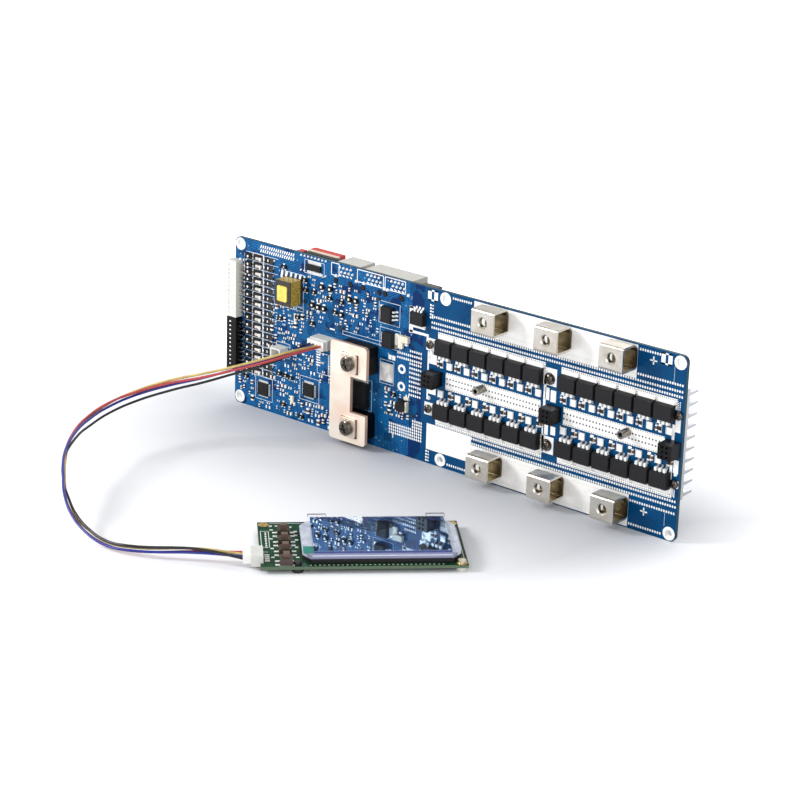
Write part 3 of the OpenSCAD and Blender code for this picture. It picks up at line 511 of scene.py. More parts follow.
def stub(shape, x, z, diameter, low, high, side=-1, sides=12, tip=1.0):
    """A round peg, dot or cone on the board; tip is its outer end's share of the diameter."""
    turned = Matrix.Rotation(math.radians(-90 * side), 4, "X")
    at = Matrix.Translation((x, side * (BOARD_HALF + (low + high) / 2), z))
    return bmesh.ops.create_cone(shape, cap_ends=True, segments=sides, radius1=diameter / 2,
                                 radius2=diameter / 2 * tip, depth=high - low, matrix=at @ turned)["verts"]


def dot_row(z, x_from, x_to, diameter=1.08):
    """Beads of solder in a row, each a little taller than wide."""
    for k in range(int((x_to - x_from) / DOT_PITCH) + 1):
        at_x = x_from + k * DOT_PITCH
        bead = stub(solder_dots, at_x, z, diameter, 0, 0.2, sides=8, tip=0.75)
        bmesh.ops.scale(solder_dots, vec=(1, 1, 1.42), verts=bead, space=Matrix.Translation((-at_x, 0, -z)))


for row in ((95.5, 5.2, 18.2), (95.5, 122.4, 135), (82.6, -8.4, 18), (82.6, 122, 148.6), (79.3, -8.4, 148.6),
            (76.6, -8.4, 148.6), (21.6, -8.4, 148.6), (18.8, 21, 148.6), (15.2, 122, 148.6), (2.6, 5, 18.2),
            (2.6, 122, 141.6)):
    dot_row(*row)
for dots_z in (60.1, 57.5, 54.9):
    dot_row(dots_z, -31 if dots_z < 60 else -22.4, -14.4)
for k in range(8):
    dot_row(53 - 2.5 * k, -22.4, -14.4)
for k in range(7):
    dot_row(11 + 1.7 * k, -35.4 if k < 4 else -19.4, -12.8, 1.1)
for via_z in (88.6, 86.9, 85.2, 83.5, 81.8, 6.6, 4.9, 3.2, 1.5):
    for via_x, via_d in ((-9.6, 1.3), (-8.2, 1.0)):
        stub(solder_dots, via_x, via_z, via_d, 0, 0.16, sides=8, tip=0.6)
for k in range(14):
    for via_z in (73.6 - k * 0.55, 24 + k * 0.3):
        stub(solder_dots, 147.4 - (k % 2), via_z, 0.8, 0, 0.12, sides=6, tip=0.6)
keep("solder_dots", solder_dots, bright_tin)

# Bare pads of all sizes: each gate's pads, the screw pads between the banks and the test pads at the left.
bare_pads = bmesh.new()
PAD_H = 0.06
GATE_ZS = (57.8, 41.4)
JACK_XS = (-68.4, -48.7, -32.2)
HEADER_Z = 49.5
PIN_PITCH = 2.54
SENSE_PITCH = 2.5
for fet_x in fet_xs:
    for pad_x, pad_z in ((fet_x - 3.1, GATE_ZS[0]), (fet_x + 3.1, GATE_ZS[1])):
        brick(bare_pads, pad_x, pad_z, 2, 4.6, 0, PAD_H)
for pad in ((69, 68, 8.4, 9.4), (69, 31, 8.4, 9.4), (66.2, 47, 1.5, 40), (71.6, 58, 3.4, 6.4),
            (67.8, 58.6, 2.6, 6.6), (67.8, 39, 3, 5.4), (72.4, 39.4, 3, 4.6), (147, 63, 3, 10),
            (144.6, 57.6, 1.6, 8), (144.6, 37.4, 1.6, 9),
            (147.4, 40, 3, 7), (147.6, 30.8, 4, 4), (-8.8, 67, 6, 7), (-8.8, 31, 6, 7), (-7, 59.4, 5, 6),
            (-7, 42, 5, 5), (-36.4, 53.4, 2.2, 2.6), (-33.8, 53.4, 2.2, 2.6)):
    brick(bare_pads, *pad, 0, PAD_H)
for ring_x, ring_z in ((-28, 48.6), (-28, 38.8)):
    ring(bare_pads, ring_x, ring_z, 5.2, 2.6, 0, 0.14)
for k in range(16):
    for row_z in (95.6, 93.2):
        brick(bare_pads, -130.6 + 1.6 * k, row_z, 0.7, 2, 0, 0.12, lean=25)
for k in range(5):
    brick(bare_pads, -114.6 + 3.3 * k, 83.4, 1.3, 4.2, 0, 0.5, lean=12)
for k in range(9):
    brick(bare_pads, -87.4, 36.6 + 1.5 * k, 3, 0.7, 0, PAD_H)
for jack_x in JACK_XS:
    for k in range(4):
        stub(bare_pads, jack_x - 4.6 + 2.6 * k, 95.8, 1.5, 0, 0.9, sides=10, tip=0.5)
        stub(bare_pads, jack_x - 3.4 + 2.6 * k, 93.4, 1.5, 0, 0.9, sides=10, tip=0.5)
        brick(bare_pads, jack_x - 4.4 + 2.6 * k, 91.4, 1.6, 0.7, 0, PAD_H, lean=20)
    for shift in (-7.2, 7.2):
        stub(bare_pads, jack_x + shift, 90.4, 2, 0, 0.8, sides=10, tip=0.5)
for k in range(12):
    for side in (-1, 1):
        stub(bare_pads, -143.2, 54.9 + SENSE_PITCH * k, 1.6, 0, 0.7, side, 10, 0.5)
for k in range(11):
    stub(bare_pads, -143.2, 24.1 + SENSE_PITCH * k, 1.6, 0, 0.7, 1, 10, 0.5)
for k in range(8):
    for row_z in (88.8, 97.2):
        stub(bare_pads, -100.9 + PIN_PITCH * k, row_z - 0.2, 1.3, 0, 0.7, sides=8, tip=0.5)
for shift_x in (-PIN_PITCH / 2, PIN_PITCH / 2):
    for k in (-1, 0, 1):
        stub(bare_pads, -20.5 + shift_x, HEADER_Z + PIN_PITCH * k, 1.7, 0, 0.8, 1, 10, 0.5)
for terminal_x in (34.3, 74.1, 113.7):
    for rail_z in (87, 91, 7, 11):
        for k in (-1, 0, 1):
            stub(bare_pads, terminal_x + 4.4 * k, rail_z, 2.2, 0, 0.6, 1, 10, 0.6)
for post_z in (46, 53.5, 8, 15):
    for post_x in (-62, -56, -50):
        stub(bare_pads, post_x, post_z, 2.6, 0, 0.7, 1, 12, 0.55)
for k in range(4):
    for socket_x, socket_z in ((-84.9, 54), (-117, 41)):
        stub(bare_pads, socket_x + SENSE_PITCH * k, socket_z, 1.5, 0, 0.7, 1, 8, 0.5)
keep("bare_pads", bare_pads, bright_tin)

# ---------------------------------------------------------------- the six bolt terminals
# Each is a strip of nickel-plated brass, pressed into a loop and tapped through its front plate.
# Its foot is soldered flat on the rail, and the plating is satin with fine drawing lines.

nickel = finish("satin_nickel", tint(214, 208, 198), 0.3, 1.0)
x, y, z, spot = place(nickel)
drawn = node("VectorMath", Operation="MULTIPLY", i0=spot, i1=(0.15, 0.6, 3.0)).outputs[0]
lines = speckle(drawn, 1.0, 2.0, 0.2, 0.8)
stain = speckle(spot, 0.18, 2.0, 0.4, 0.75)
face = blend(lines, tint(208, 203, 194), tint(222, 217, 209))
aged = blend(stain, face, tint(200, 192, 176))
ROW_STEP = 79.9
PLATE_BACK = -12.97
# Painted highlight and shade inside each loop: pale next to the front plate and darker towards the foot,
# standing in for the light that falls into it.
from_foot = minus(z, times(above(z, 50.0), ROW_STEP))
inside = times(between(from_foot, 6.15, 17.3), above(y, PLATE_BACK))
deep_in = ramp(y, over=(-12.9, -5))
inner_light_and_shade = blend(deep_in, tint(224, 220, 210), tint(104, 94, 74))
paint(nickel, blend(inside, aged, inner_light_and_shade))
gloss(nickel, lines, 0.26, 0.34)
bump(nickel, lines, 0.003)
for row in ("p", "b"):
    dress(nickel, *(f"{row}_terminal_{i}" for i in (1, 2, 3)))

# ---------------------------------------------------------------- power packages
# Epoxy moulded round a tinned copper tab and three short legs, reflowed on the solder bands.
# The tab shows as a bright strip past the body, the moulding is matt and almost black.



def in_gap(z):
    """1 between the banks and the middle rails, where the legs reach down into the gap."""
    return between(z, 37.9, 61.7)


def fet_finish(name, outside):
    """The moulding's finish with bright tin wherever the mask says that the tab or a leg is; out in the gap
    the legs are painted shade grey.
    """
    made = finish(name, tint(40, 40, 42), 0.55, Specular_IOR_Level=0.2)
    where = place(made)
    metal = outside(where[0], where[2])
    grain = speckle(where[3], 6)
    black = blend(grain, tint(33, 33, 35), tint(41, 41, 43))
    # Painted shade: in the gap the tin of the legs is painted grey.
    with_painted_shade = blend(in_gap(where[2]), tint(252, 252, 250), tint(150, 150, 150))
    paint(made, blend(metal, black, with_painted_shade))
    connect(made, "Metallic", times(metal, 0.12))
    gloss(made, metal, 0.55, 0.3)
    bump(made, grain, 0.01)
    return made


def beyond(where, middle, reach):
    """1 further than a distance from a middle line."""
    off = maths("ABSOLUTE", minus(where, middle))
    return above(off, reach)


dress(fet_finish("upper_fets", lambda x, z: beyond(z, 67.6, 4.43)), "mosfets_upper")
dress(fet_finish("lower_fets", lambda x, z: beyond(z, 32, 4.43)), "mosfets_lower")


def driver_metal(x, z):
    """The three drivers lie in their own directions: two along the board and one up it."""
    lying = below(x, -27.0)
    upper = above(z, 70.5)
    middle = minus(-36.3, times(upper, 1.4))
    across = beyond(x, middle, 3.72)
    along = beyond(z, 79.9, 3.72)
    return maths("ADD", times(lying, across), times(minus(1.0, lying), along))


dress(fet_finish("driver_fets", driver_metal), "driver_transistors")

# The parts round the gates: tinned blocks and a chip capsule beside each transistor's legs.
LEG_ZS = (62.4, 37.2)
gate_caps = bmesh.new()
capsules = bmesh.new()
for fet_x in fet_xs:
    for way, gate_z in zip((1, -1), GATE_ZS):
        brick(gate_caps, fet_x + 2.65 * way, gate_z, 3.0, 3.7, 0.0, 0.95)
        for end in (-1.35, 1.35):
            brick(gate_caps, fet_x - 3.1 * way, gate_z + end, 1.5, 0.55, 0, 0.76)
        brick(capsules, fet_x - 5.1 * way, gate_z, 1.1, 1.7, 0, 0.8)
        for end in (-1.1, 1.1):
            brick(gate_caps, fet_x - 5.1 * way, gate_z + end, 1.15, 0.6, 0, 0.82)
    for leg_x in (-PIN_PITCH, 0, PIN_PITCH):
        for leg_z in LEG_ZS:
            brick(gate_caps, fet_x + leg_x, leg_z, 1.4, 2.0, 1.4, 3.1)
for blob_x, blob_z, blob_d in ((-8, 63, 2.6), (-9.4, 60.5, 2), (-9, 37, 2.4), (147.6, 36, 2)):
    stub(gate_caps, blob_x, blob_z, blob_d, 0, 0.9, sides=10, tip=0.6)
keep("gate_pads", gate_caps, bright_tin)
chip_brown = worn("chip_brown", tint(112, 80, 62), 0.5, shade=0.8, grain=2.5)
keep("gate_capsules", capsules, chip_brown)

# ---------------------------------------------------------------- the link bar and its posts
# A C of punched copper plate with a thin tin flash, so it looks pale pink, on two black moulded posts.
# Two cross-slot screws with square washers hold it.

flashed_copper = finish("flashed_copper", tint(250, 226, 208), 0.36, 0.5)
x, y, z, spot = place(flashed_copper)
flash = speckle(spot, 0.07, 3.0, 0.35, 0.65)
pink = blend(flash, tint(250, 222, 202), tint(253, 243, 227))
cut_edge = above(y, -12.75)
paint(flashed_copper, blend(cut_edge, pink, tint(232, 186, 160)))
bump(flashed_copper, speckle(spot, 1.5), 0.015)
dress(flashed_copper, "link_bar")
dress(worn("post_moulding", tint(8, 7, 9), 0.5, shade=0.75, grain=1.5, depth=0.02, Specular_IOR_Level=0.2),
      "link_posts")
screw_steel = worn("plated_steel", tint(112, 106, 98), 0.2, 1.0, shade=0.7, grain=0.9, depth=0.01)
dress(screw_steel, "link_screws", "heat_sink_screws")
dress(worn("washer_plate", tint(238, 222, 206), 0.34, 0.7, shade=0.93, grain=0.6), "link_washers")
# Painted shadow: thin dark plates on the bar, a little bigger than each washer, stand in for the shade round
# its edges. Dark rings also lie round the two middle screws.
shadows_and_rings = bmesh.new()
for washer_z in (48.7, 12):
    brick(shadows_and_rings, -54.1, washer_z - 0.15, 11.2, 11.1, 12.0, 12.12)
for screw_x, screw_z in ((69, 67), (69, 31)):
    ring(shadows_and_rings, screw_x, screw_z, 6.4, 5.2, 0.2, 0.5)
keep("washer_shadows_and_screw_rings", shadows_and_rings, worn("dark_shadow_and_ring", tint(58, 40, 32), 0.6, shade=0.7, grain=1))

# ---------------------------------------------------------------- sense headers and lead sockets
# Side-entry headers in white and black nylon on the left edge, with square tinned pins bent down
# through the board, and two small upright sockets for leads.

nylon_white = worn("nylon_white", tint(218, 217, 210), 0.42, shade=0.94, grain=0.5, Subsurface_Weight=0.05)
dress(nylon_white, "sense_header_white", "lead_sockets", "display_header")
dress(worn("nylon_black", tint(7, 7, 9), 0.4, shade=0.75, grain=1.0, Specular_IOR_Level=0.25),
      "sense_header_black")
dress(worn("pin_plating", tint(216, 210, 196), 0.25, 1.0, shade=0.9, grain=1.0), "header_pins")
plug_white = worn("plug_nylon", tint(240, 239, 234), 0.45, shade=0.95, grain=0.6)
dress(plug_white, "lead_plug", "display_plug")
# Painted shadow: grey slats on the lead plug's face stand in for the shade in its slots.
plug_slot_shades = bmesh.new()
for k in range(4):
    for z_at in (49.6, 53.2):
        block = bmesh.ops.create_cube(plug_slot_shades, size=1)["verts"]
        bmesh.ops.scale(plug_slot_shades, vec=(1.1, 1.6, 0.2), verts=block)
        bmesh.ops.translate(plug_slot_shades, vec=(-84.95 + SENSE_PITCH * k, -9.9, z_at), verts=block)
plug_slots = worn("slot_shadow", tint(120, 118, 112), 0.6, shade=0.8, grain=1)
keep("lead_plug_slot_shadows", plug_slot_shades, plug_slots)

# ---------------------------------------------------------------- the sixteen cells' balancing parts
# One line of small parts for every cell of the battery: a transistor, a shunt, a capacitor and a resistor,
# all soldered by machine, each with tinned ends.


def soften(shape, radius):
    """Rounds every edge of a shape."""
    bmesh.ops.bevel(shape, geom=shape.edges[:], offset=radius, offset_type="OFFSET", affect="EDGES",
                    segments=2, profile=0.5, material=-1)


moulding = worn("epoxy_moulding", tint(30, 30, 32), 0.5, shade=0.85, grain=6, depth=0.02,
                Specular_IOR_Level=0.25)
dress(moulding, "balance_transistors", "small_transistors", "flat_chips")
tin_leads_and_highlights = bmesh.new()
cell_pale = bmesh.new()
cell_dark = bmesh.new()
# Each line's bright legs and ends: x, height from the line's middle, width, height, low and high.
CELL_LEADS = ((-136.5, -0.9, 1.2, 0.65, 0, 0.5), (-136.5, 0.9, 1.2, 0.65, 0, 0.5),
              (-142, 0, 1.4, 1.9, 0, 0.5), (-130.2, -0.2, 0.8, 1.9, 0.6, 1.75),
              (-127.6, 0.4, 0.7, 1.4, 0, 1.05),
              (-124.6, 0.4, 0.7, 1.4, 0, 1.05), (-123.4, -0.9, 1.3, 0.9, 0, 0.3),
              (-125.6, -1.6, 1.1, 0.7, 0, 0.3), (-121.4, 0.9, 0.9, 1.2, 0, 0.6))
for cell_z in cell_zs:
    for lead_x, off_z, *block in CELL_LEADS:
        brick(tin_leads_and_highlights, lead_x, cell_z + off_z, *block)
    # A small bright tin disc lies on top of each line's transistor.
    stub(tin_leads_and_highlights, -139.4, cell_z, 1.5, 1.5, 1.68, sides=10, tip=0.8)
    brick(cell_dark, -132.9, cell_z + 0.15, 5.4, 3.5, 0, 1.0)
    brick(cell_dark, -126, cell_z + 0.3, 3.6, 2.7, 0, 1.0)
    brick(cell_pale, -131.9, cell_z - 0.2, 3.9, 1.7, 0.6, 1.7)
soften(cell_pale, 0.5)
capacitor_beige = worn("capacitor_beige", tint(212, 206, 198), 0.35, shade=0.75, grain=0.5)
keep("cell_capacitors", cell_pale, capacitor_beige, smooth=True)

chip_finish = finish("chip_dark", tint(60, 54, 50), 0.45)
x, y, z, spot = place(chip_finish)
mottle = speckle(spot, 1.5)
black_chip = blend(mottle, tint(26, 25, 26), tint(42, 39, 37))
cream_chip = blend(mottle, tint(214, 204, 180), tint(234, 228, 210))
inductor = between(x, -30, -22)
paint(chip_finish, blend(inductor, black_chip, cream_chip))
dress(chip_finish, "chip_resistors")

# ---------------------------------------------------------------- small parts of the left half
# Three-legged transistors, chip resistors and capacitors in their hundreds, tinned at both ends.

SOT_PLACES = ((-113.2, 87.7), (-98, 83.5), (-97, 78), (-91, 78), (-85.5, 82), (-79.5, 82), (-79.5, 77),
              (-71, 76.5), (-66, 79.5), (-61, 79.5), (-92, 70.5), (-84, 70), (-75.5, 70), (-141, 17.5),
              (-116, 25), (-111, 25), (-107, 24.5), (-99, 3.5), (-112.5, 7.5), (-102.5, 61), (-115.5, 57.5),
              (-92, 60), (-25, 30), (-33, 33))
ROUND_PLACES = ((-92, 70.3), (-87.8, 70), (-83.6, 70), (-71, 69.4), (-65.6, 79.4), (-61, 79.4), (-85.5, 82),
                (-79.5, 82))
for sot_x, sot_z in SOT_PLACES:
    for leg_x, leg_z in ((-0.95, -1.25), (0.95, -1.25), (0, 1.25)):
        brick(tin_leads_and_highlights, sot_x + leg_x, sot_z + leg_z, 0.95, 1.2, 0, 0.5)
    brick(cell_dark, sot_x, sot_z, 3.3, 2.0, 0, 1.25)
    # Painted highlight: a small bright tin disc on top of each transistor's body.
    stub(tin_leads_and_highlights, sot_x + 0.3, sot_z - 0.1, 1.0, 1.2, 1.28, sides=8, tip=0.7)
for can_x, can_z in ROUND_PLACES:
    stub(cell_dark, can_x, can_z, 3.9, 0, 1.4, sides=14, tip=0.8)
    # Painted highlight: a small bright tin square on top of each can.
    brick(tin_leads_and_highlights, can_x + 0.2, can_z + 0.2, 1.1, 1.1, 1.38, 1.46)
    for end in (-1, 1):
        brick(tin_leads_and_highlights, can_x, can_z + 2.1 * end, 1.9, 0.8, 0, 0.4)

# Taken ground that the scattered chips keep off: x and z from and to.
TAKEN = [(-114, -97, 67, 86), (-98, -84, 88, 96), (-133, -121.5, 6.5, 19.5), (-99.5, -87.5, 14.5, 27),
         (-88, -75, 47, 58), (-119.5, -107.5, 35, 43), (-73, -40.5, 0, 60.5), (-45, -29, 71, 84),
         (-44, -29, 57, 69.5), (-44, -32, 37, 52), (-151, -148, 0, 98), (-121, -99, 79, 87),
         (-150, -142, 0, 8), (-150, -142, 90, 98), (-37, -11, 0, 20), (-24, -11, 36, 62), (-80, -76, 58, 61)]
# Where they are scattered: x and z from and to, and the share of the tries that each place gets.
CLUSTERS = ((-119, -98, 53, 66, 34), (-119, -101, 43.5, 53, 22), (-113, -90, 29, 42, 22),
            (-119, -101, 16, 29, 24), (-118, -105, 2, 16, 26), (-104, -76, 2, 13, 40),
            (-147, -134, 5, 20, 14), (-99, -74, 73, 86, 24), (-122.5, -120.3, 18, 90, 26),
            (-97, -82, 62, 68, 12), (-75, -52, 62, 86, 34), (-51, -43, 60, 84, 12), (-36, -22, 20, 35, 26),
            (-40, -28, 21, 36, 14), (-34, -24, 63, 66, 4), (-86, -74, 27, 45, 8), (-147, -140, 76, 90, 6),
            (-132, -122, 2, 6, 6))
TRIES = 6
SIZES = ((1.8, 1.0, 0.5), (2.3, 1.4, 0.7), (3.3, 1.8, 1.0))
END_SHARE = 0.28
BARE_SHARE = 0.25
DARK_SHARE = 0.7
scatter = random.Random(16)
chips_black, chips_pale = bmesh.new(), bmesh.new()
occupied = [(sx - 2, sx + 2, sz - 2.2, sz + 2.2) for sx, sz in SOT_PLACES + ROUND_PLACES] + TAKEN
for x_from, x_to, z_from, z_to, count in CLUSTERS:
    for _ in range(count * TRIES):
        length, width, thick = scatter.choice(SIZES)
        chip_x, chip_z = scatter.uniform(x_from, x_to), scatter.uniform(z_from, z_to)
        upright = scatter.random() < 0.5
        half_x, half_z = (width / 2, length / 2) if upright else (length / 2, width / 2)
        ground = (chip_x - half_x - 0.5, chip_x + half_x + 0.5,
                  chip_z - half_z - 0.35, chip_z + half_z + 0.35)
        if any(ground[0] < other[1] and ground[1] > other[0] and ground[2] < other[3] and ground[3] > other[2]
               for other in occupied):
            continue
        occupied.append(ground)
        end_w = length * END_SHARE
        kind = scatter.random()
        top = PAD_H
        if kind > BARE_SHARE:
            top = thick + 0.03
            body = chips_pale if kind > DARK_SHARE else chips_black
            brick(body, chip_x, chip_z, 2 * half_x - 0.1, 2 * half_z - 0.1, 0, thick)
        for end in (-1, 1):
            off = end * (length / 2 - end_w / 2)
            if upright:
                brick(tin_leads_and_highlights, chip_x, chip_z + off, width, end_w, 0, top)
            else:
                brick(tin_leads_and_highlights, chip_x + off, chip_z, end_w, width, 0, top)
keep("cell_chips", cell_dark, moulding)
keep("small_chips", chips_black, moulding)
keep("small_capacitors", chips_pale, chip_brown)

# Round and square odd parts: the jacks' black pegs, a can capacitor, a moulded coil and a crystal.
odd_black = bmesh.new()
for peg_x in (-75.6, -65.2, -56.4, -45, -41, -29.2):
    stub(odd_black, peg_x, 87.9, 3.2, 0, 0.6, sides=14, tip=0.8)
stub(odd_black, -26.4, 28.4, 6.4, 0, 3.4, sides=20)
brick(odd_black, -26.4, 28.4, 6.6, 6.6, 0, 0.8)
brick(odd_black, -91, 91.6, 9.6, 3.4, 0, 1.4)
keep("odd_black_parts", odd_black, moulding)
for k in range(14):
    for row_z in (88.9, 94.3):
        brick(tin_leads_and_highlights, -95.4 + 0.68 * k, row_z, 0.36, 1.9, 0, 0.4)
odd_pale = bmesh.new()
for pale_x, pale_z, pale_w, pale_h, pale_t in ((-104.2, 60.3, 1.4, 5, 1.2), (-23, 28.4, 1, 6, 2.6),
                                              (-28.6, 64, 3.2, 7.6, 1.6), (-105.6, 12, 2.2, 4.2, 1.4)):
    brick(odd_pale, pale_x, pale_z, pale_w, pale_h, 0, pale_t)
soften(odd_pale, 0.3)
cream = worn("ceramic_cream", tint(232, 226, 204), 0.4, shade=0.9, grain=1)
keep("odd_pale_parts", odd_pale, cream)
for chip_x, chip_z in ((-127.6, 12.8), (-93.5, 20.6)):
    for k in range(12):
        step = (k - 5.5) * 0.58
        for edge in (-4.1, 4.1):
            brick(tin_leads_and_highlights, chip_x + step, chip_z + edge, 0.28, 1.5, 0, 0.5)
            brick(tin_leads_and_highlights, chip_x + edge, chip_z + step, 1.5, 0.28, 0, 0.5)
for k in range(9):
    brick(tin_leads_and_highlights, -62.6 + 1.4 * k, 35.6, 0.8, 2.4, 0, 0.7)
keep("tin_leads_and_highlights", tin_leads_and_highlights, bright_tin)

# ---------------------------------------------------------------- the transformer
# A ferrite core round a taped winding. Yellow polyester tape also wraps the core's sides.

core = finish("ferrite_and_tape", tint(48, 46, 44), 0.5)
x, y, z, spot = place(core)
wrap = between(y, -10.3, -2.4)
layers = speckle(spot, 0.9)
ferrite = blend(layers, tint(38, 36, 36), tint(62, 59, 56))
# Painted shade: the tape on the core is painted a darker gold than the winding's bright face, for the shade
# on the core's sides.
tape = blend(layers, tint(150, 124, 44), tint(196, 168, 78))
paint(core, blend(wrap, ferrite, tape))
gloss(core, wrap, 0.6, 0.3)
bump(core, layers, 0.02)
dress(core, "transformer_core")
dress(worn("winding_tape", tint(238, 212, 96), 0.28, shade=0.85, grain=0.4), "transformer_coil")

# ---------------------------------------------------------------- box headers and studs
# Three black six-way sockets stand between the banks, and two knurled threaded studs on the middle rails.

dress(worn("socket_black", tint(14, 13, 15), 0.4, shade=0.75, grain=1.2, depth=0.02, Specular_IOR_Level=0.25),
      "box_headers")
HEADER_XS = (-4.5, 72.9, 145.4)
contacts = bmesh.new()
for header_x in HEADER_XS:
    for shift_x in (-PIN_PITCH / 2, PIN_PITCH / 2):
        for k in (-1, 0, 1):
            brick(contacts, header_x + shift_x, HEADER_Z + PIN_PITCH * k, 0.8, 0.8, 3.4, 4.4)
keep("box_header_contacts", contacts, bright_tin)
knurl = finish("knurled_stud", tint(150, 144, 134), 0.3, 1.0)
x, y, z, spot = place(knurl)
slant = maths("ADD", y, z)
# Painted shade: the grooves are painted darker than the ridges.
grooves = times(stripes(slant, 0.8, 0.5), stripes(y, 0.8, 0.6))
paint(knurl, blend(grooves, tint(120, 114, 106), tint(206, 200, 190)))
bump(knurl, grooves, 0.08)
dress(knurl, "studs")

# ---------------------------------------------------------------- the display's board and header
# A small green board on four feet, with a row of tact switches and a side-entry header for the lead.
# Its screen sits in a silver tray at the other end.

DISPLAY_AT = Vector((41.6, -114.7, 0))
DISPLAY_TOP = 3.6


def display_spot(made):
    """Coordinates along, across and above the display in millimetres, for its materials."""
    turn = node("Mapping", i0=node("TexCoord", made.node_tree).outputs["Object"],
                i1=(0, 0, 0), i2=(0, 0, -DISPLAY_TURN), i3=(1000, 1000, 1000))
    turn.vector_type = "POINT"
    parts = node("SeparateXYZ", Vector=turn.outputs[0])
    at = Matrix.Rotation(-DISPLAY_TURN, 3, "Z") @ DISPLAY_AT
    along = minus(parts.outputs[0], at.x)
    across = minus(parts.outputs[1], at.y)
    return along, across, parts.outputs[2], turn.outputs[0]


def tile(shape, x, y, length, width, high, low=DISPLAY_TOP):
    """A block on the display, placed along and across it, between two heights over the bench."""
    corners = bmesh.ops.create_cube(shape, size=1)["verts"]
    bmesh.ops.scale(shape, vec=(length, width, high - low), verts=corners)
    on_display(shape, corners, x, y, (low + high) / 2)


def on_display(shape, corners, x, y, z):
    """Carries vertices from the display's own frame to its place on the bench."""
    bmesh.ops.translate(shape, vec=(x, y, z), verts=corners)
    bmesh.ops.rotate(shape, cent=(0, 0, 0), matrix=Matrix.Rotation(DISPLAY_TURN, 3, "Z"), verts=corners)
    bmesh.ops.translate(shape, vec=DISPLAY_AT, verts=corners)


def dot(shape, x, y, diameter, height, sides=10):
    """A round bead on the display's board."""
    made = bmesh.ops.create_cone(shape, cap_ends=True, segments=sides, radius1=diameter / 2,
                                 radius2=diameter / 2 * 0.8, depth=height)["verts"]
    on_display(shape, made, x, y, DISPLAY_TOP + height / 2)


green = finish("board_green", tint(14, 60, 34), 0.32, Specular_IOR_Level=0.15)
x, y, z, spot = display_spot(green)
weave = speckle(spot, 0.12, 1.0, 0.49, 0.5)
lanes = times(stripes(y, 1.1, 0.35), below(x, -28.0))
plain_green = blend(weave, tint(8, 46, 26), tint(14, 60, 34))
with_lanes = blend(lanes, plain_green, tint(26, 80, 50))
side_rim = between(z, 2.02, DISPLAY_TOP - 0.03)
paint(green, blend(side_rim, with_lanes, tint(96, 112, 92)))
bump(green, lanes, 0.02)
dress(green, "display_board")

small_pads = bmesh.new()
BUTTON_X = -37.6
BUTTON_YS = (11.6, 0, -11.6, -23.2)
for button_y in BUTTON_YS:
    for pad_x in (BUTTON_X - 4.3, BUTTON_X + 4.3):
        for shift in (-2.2, 2.2):
            tile(small_pads, pad_x, button_y + shift, 2.2, 1.3, DISPLAY_TOP + 0.25)
for k in range(4):
    tile(small_pads, -46.6, -20.4 + 2.4 * k, 2.4, 1.1, DISPLAY_TOP + 0.1)
for k in range(9):
    dot(small_pads, -46.4, -4 + 2.2 * k, 1.1, 0.2)
for k in range(30):
    dot(small_pads, -26 + 2.2 * k, -25.9, 0.8, 0.05, 6)
for pad_x, pad_y in ((-43.6, 22), (-40.6, 22), (-37.6, 22), (-34, 20.4), (-31.6, 14.8), (-31.6, 10.2),
                     (-31.8, -4.6), (-43.8, 6), (-43.8, -5.8), (-43.4, 17.2), (-31.4, 4.4), (-43.8, -16.4),
                     (-31.8, -16.8)):
    tile(small_pads, pad_x, pad_y, 1.6, 0.9, DISPLAY_TOP + 0.3)
keep("display_pads", small_pads, bright_tin)
display_ink = bmesh.new()
for button_y in BUTTON_YS:
    for shift in (-3.5, 3.5):
        tile(display_ink, BUTTON_X, button_y + shift, 7.2, 0.25, DISPLAY_TOP + INK_H)
for stroke in ((-47.4, -9.6, 3.2, 0.3), (-48.8, 6, 0.3, 20), (-44.9, 6, 0.3, 20), (-46.8, 16, 4, 0.3),
               (-46.8, -4, 4, 0.3), (-34, 25.6, 20, 0.25), (48.6, 0, 0.25, 38)):
    tile(display_ink, *stroke, DISPLAY_TOP + INK_H)
keep("display_ink", display_ink, ink_white)
gold = bmesh.new()
for hole_x, hole_y in ((47, 24.5), (47, -24.5), (-47, 24.5)):
    dot(gold, hole_x, hole_y, 5.4, 0.04, 20)
gold_plate = worn("gold_flash", tint(226, 190, 110), 0.3, 0.9, shade=0.9, grain=1)
keep("display_hole_pads", gold, gold_plate)

foot_finish = finish("feet_and_screws", tint(214, 212, 204), 0.4)
x, y, z, spot = display_spot(foot_finish)
heads = above(z, DISPLAY_TOP - 0.05)
dark_head = times(below(x, 0.0), below(y, 0.0))
bright_head = times(heads, minus(1.0, dark_head))
mottled = speckle(spot, 1.5)
nylon = blend(mottled, tint(200, 197, 188), tint(216, 214, 206))
with_dark = blend(dark_head, nylon, tint(22, 21, 22))
paint(foot_finish, blend(bright_head, with_dark, tint(222, 214, 190)))
connect(foot_finish, "Metallic", times(bright_head, 0.9))
dress(foot_finish, "display_feet")

# ---------------------------------------------------------------- the tact switches
# Four square push buttons with a round-cornered metal cover over a moulded body and a short brown cap.

dress(worn("button_cover", tint(84, 70, 63), 0.35, 0.3, shade=0.8, grain=0.8, depth=0.02), "button_bodies")
dress(worn("button_cap_brown", tint(104, 86, 76), 0.45, shade=0.85, grain=1.2, depth=0.02),
      *(f"button_cap_{i}" for i in (1, 2, 3, 4)))

# ---------------------------------------------------------------- the screen in its tray
# A silver-painted moulded tray with cut corners holds a dark glass that mirrors the room.
# A clear film with two pull tabs still covers it.

tray = finish("tray_silver", tint(208, 214, 226), 0.35, 0.35)
x, y, z, spot = display_spot(tray)
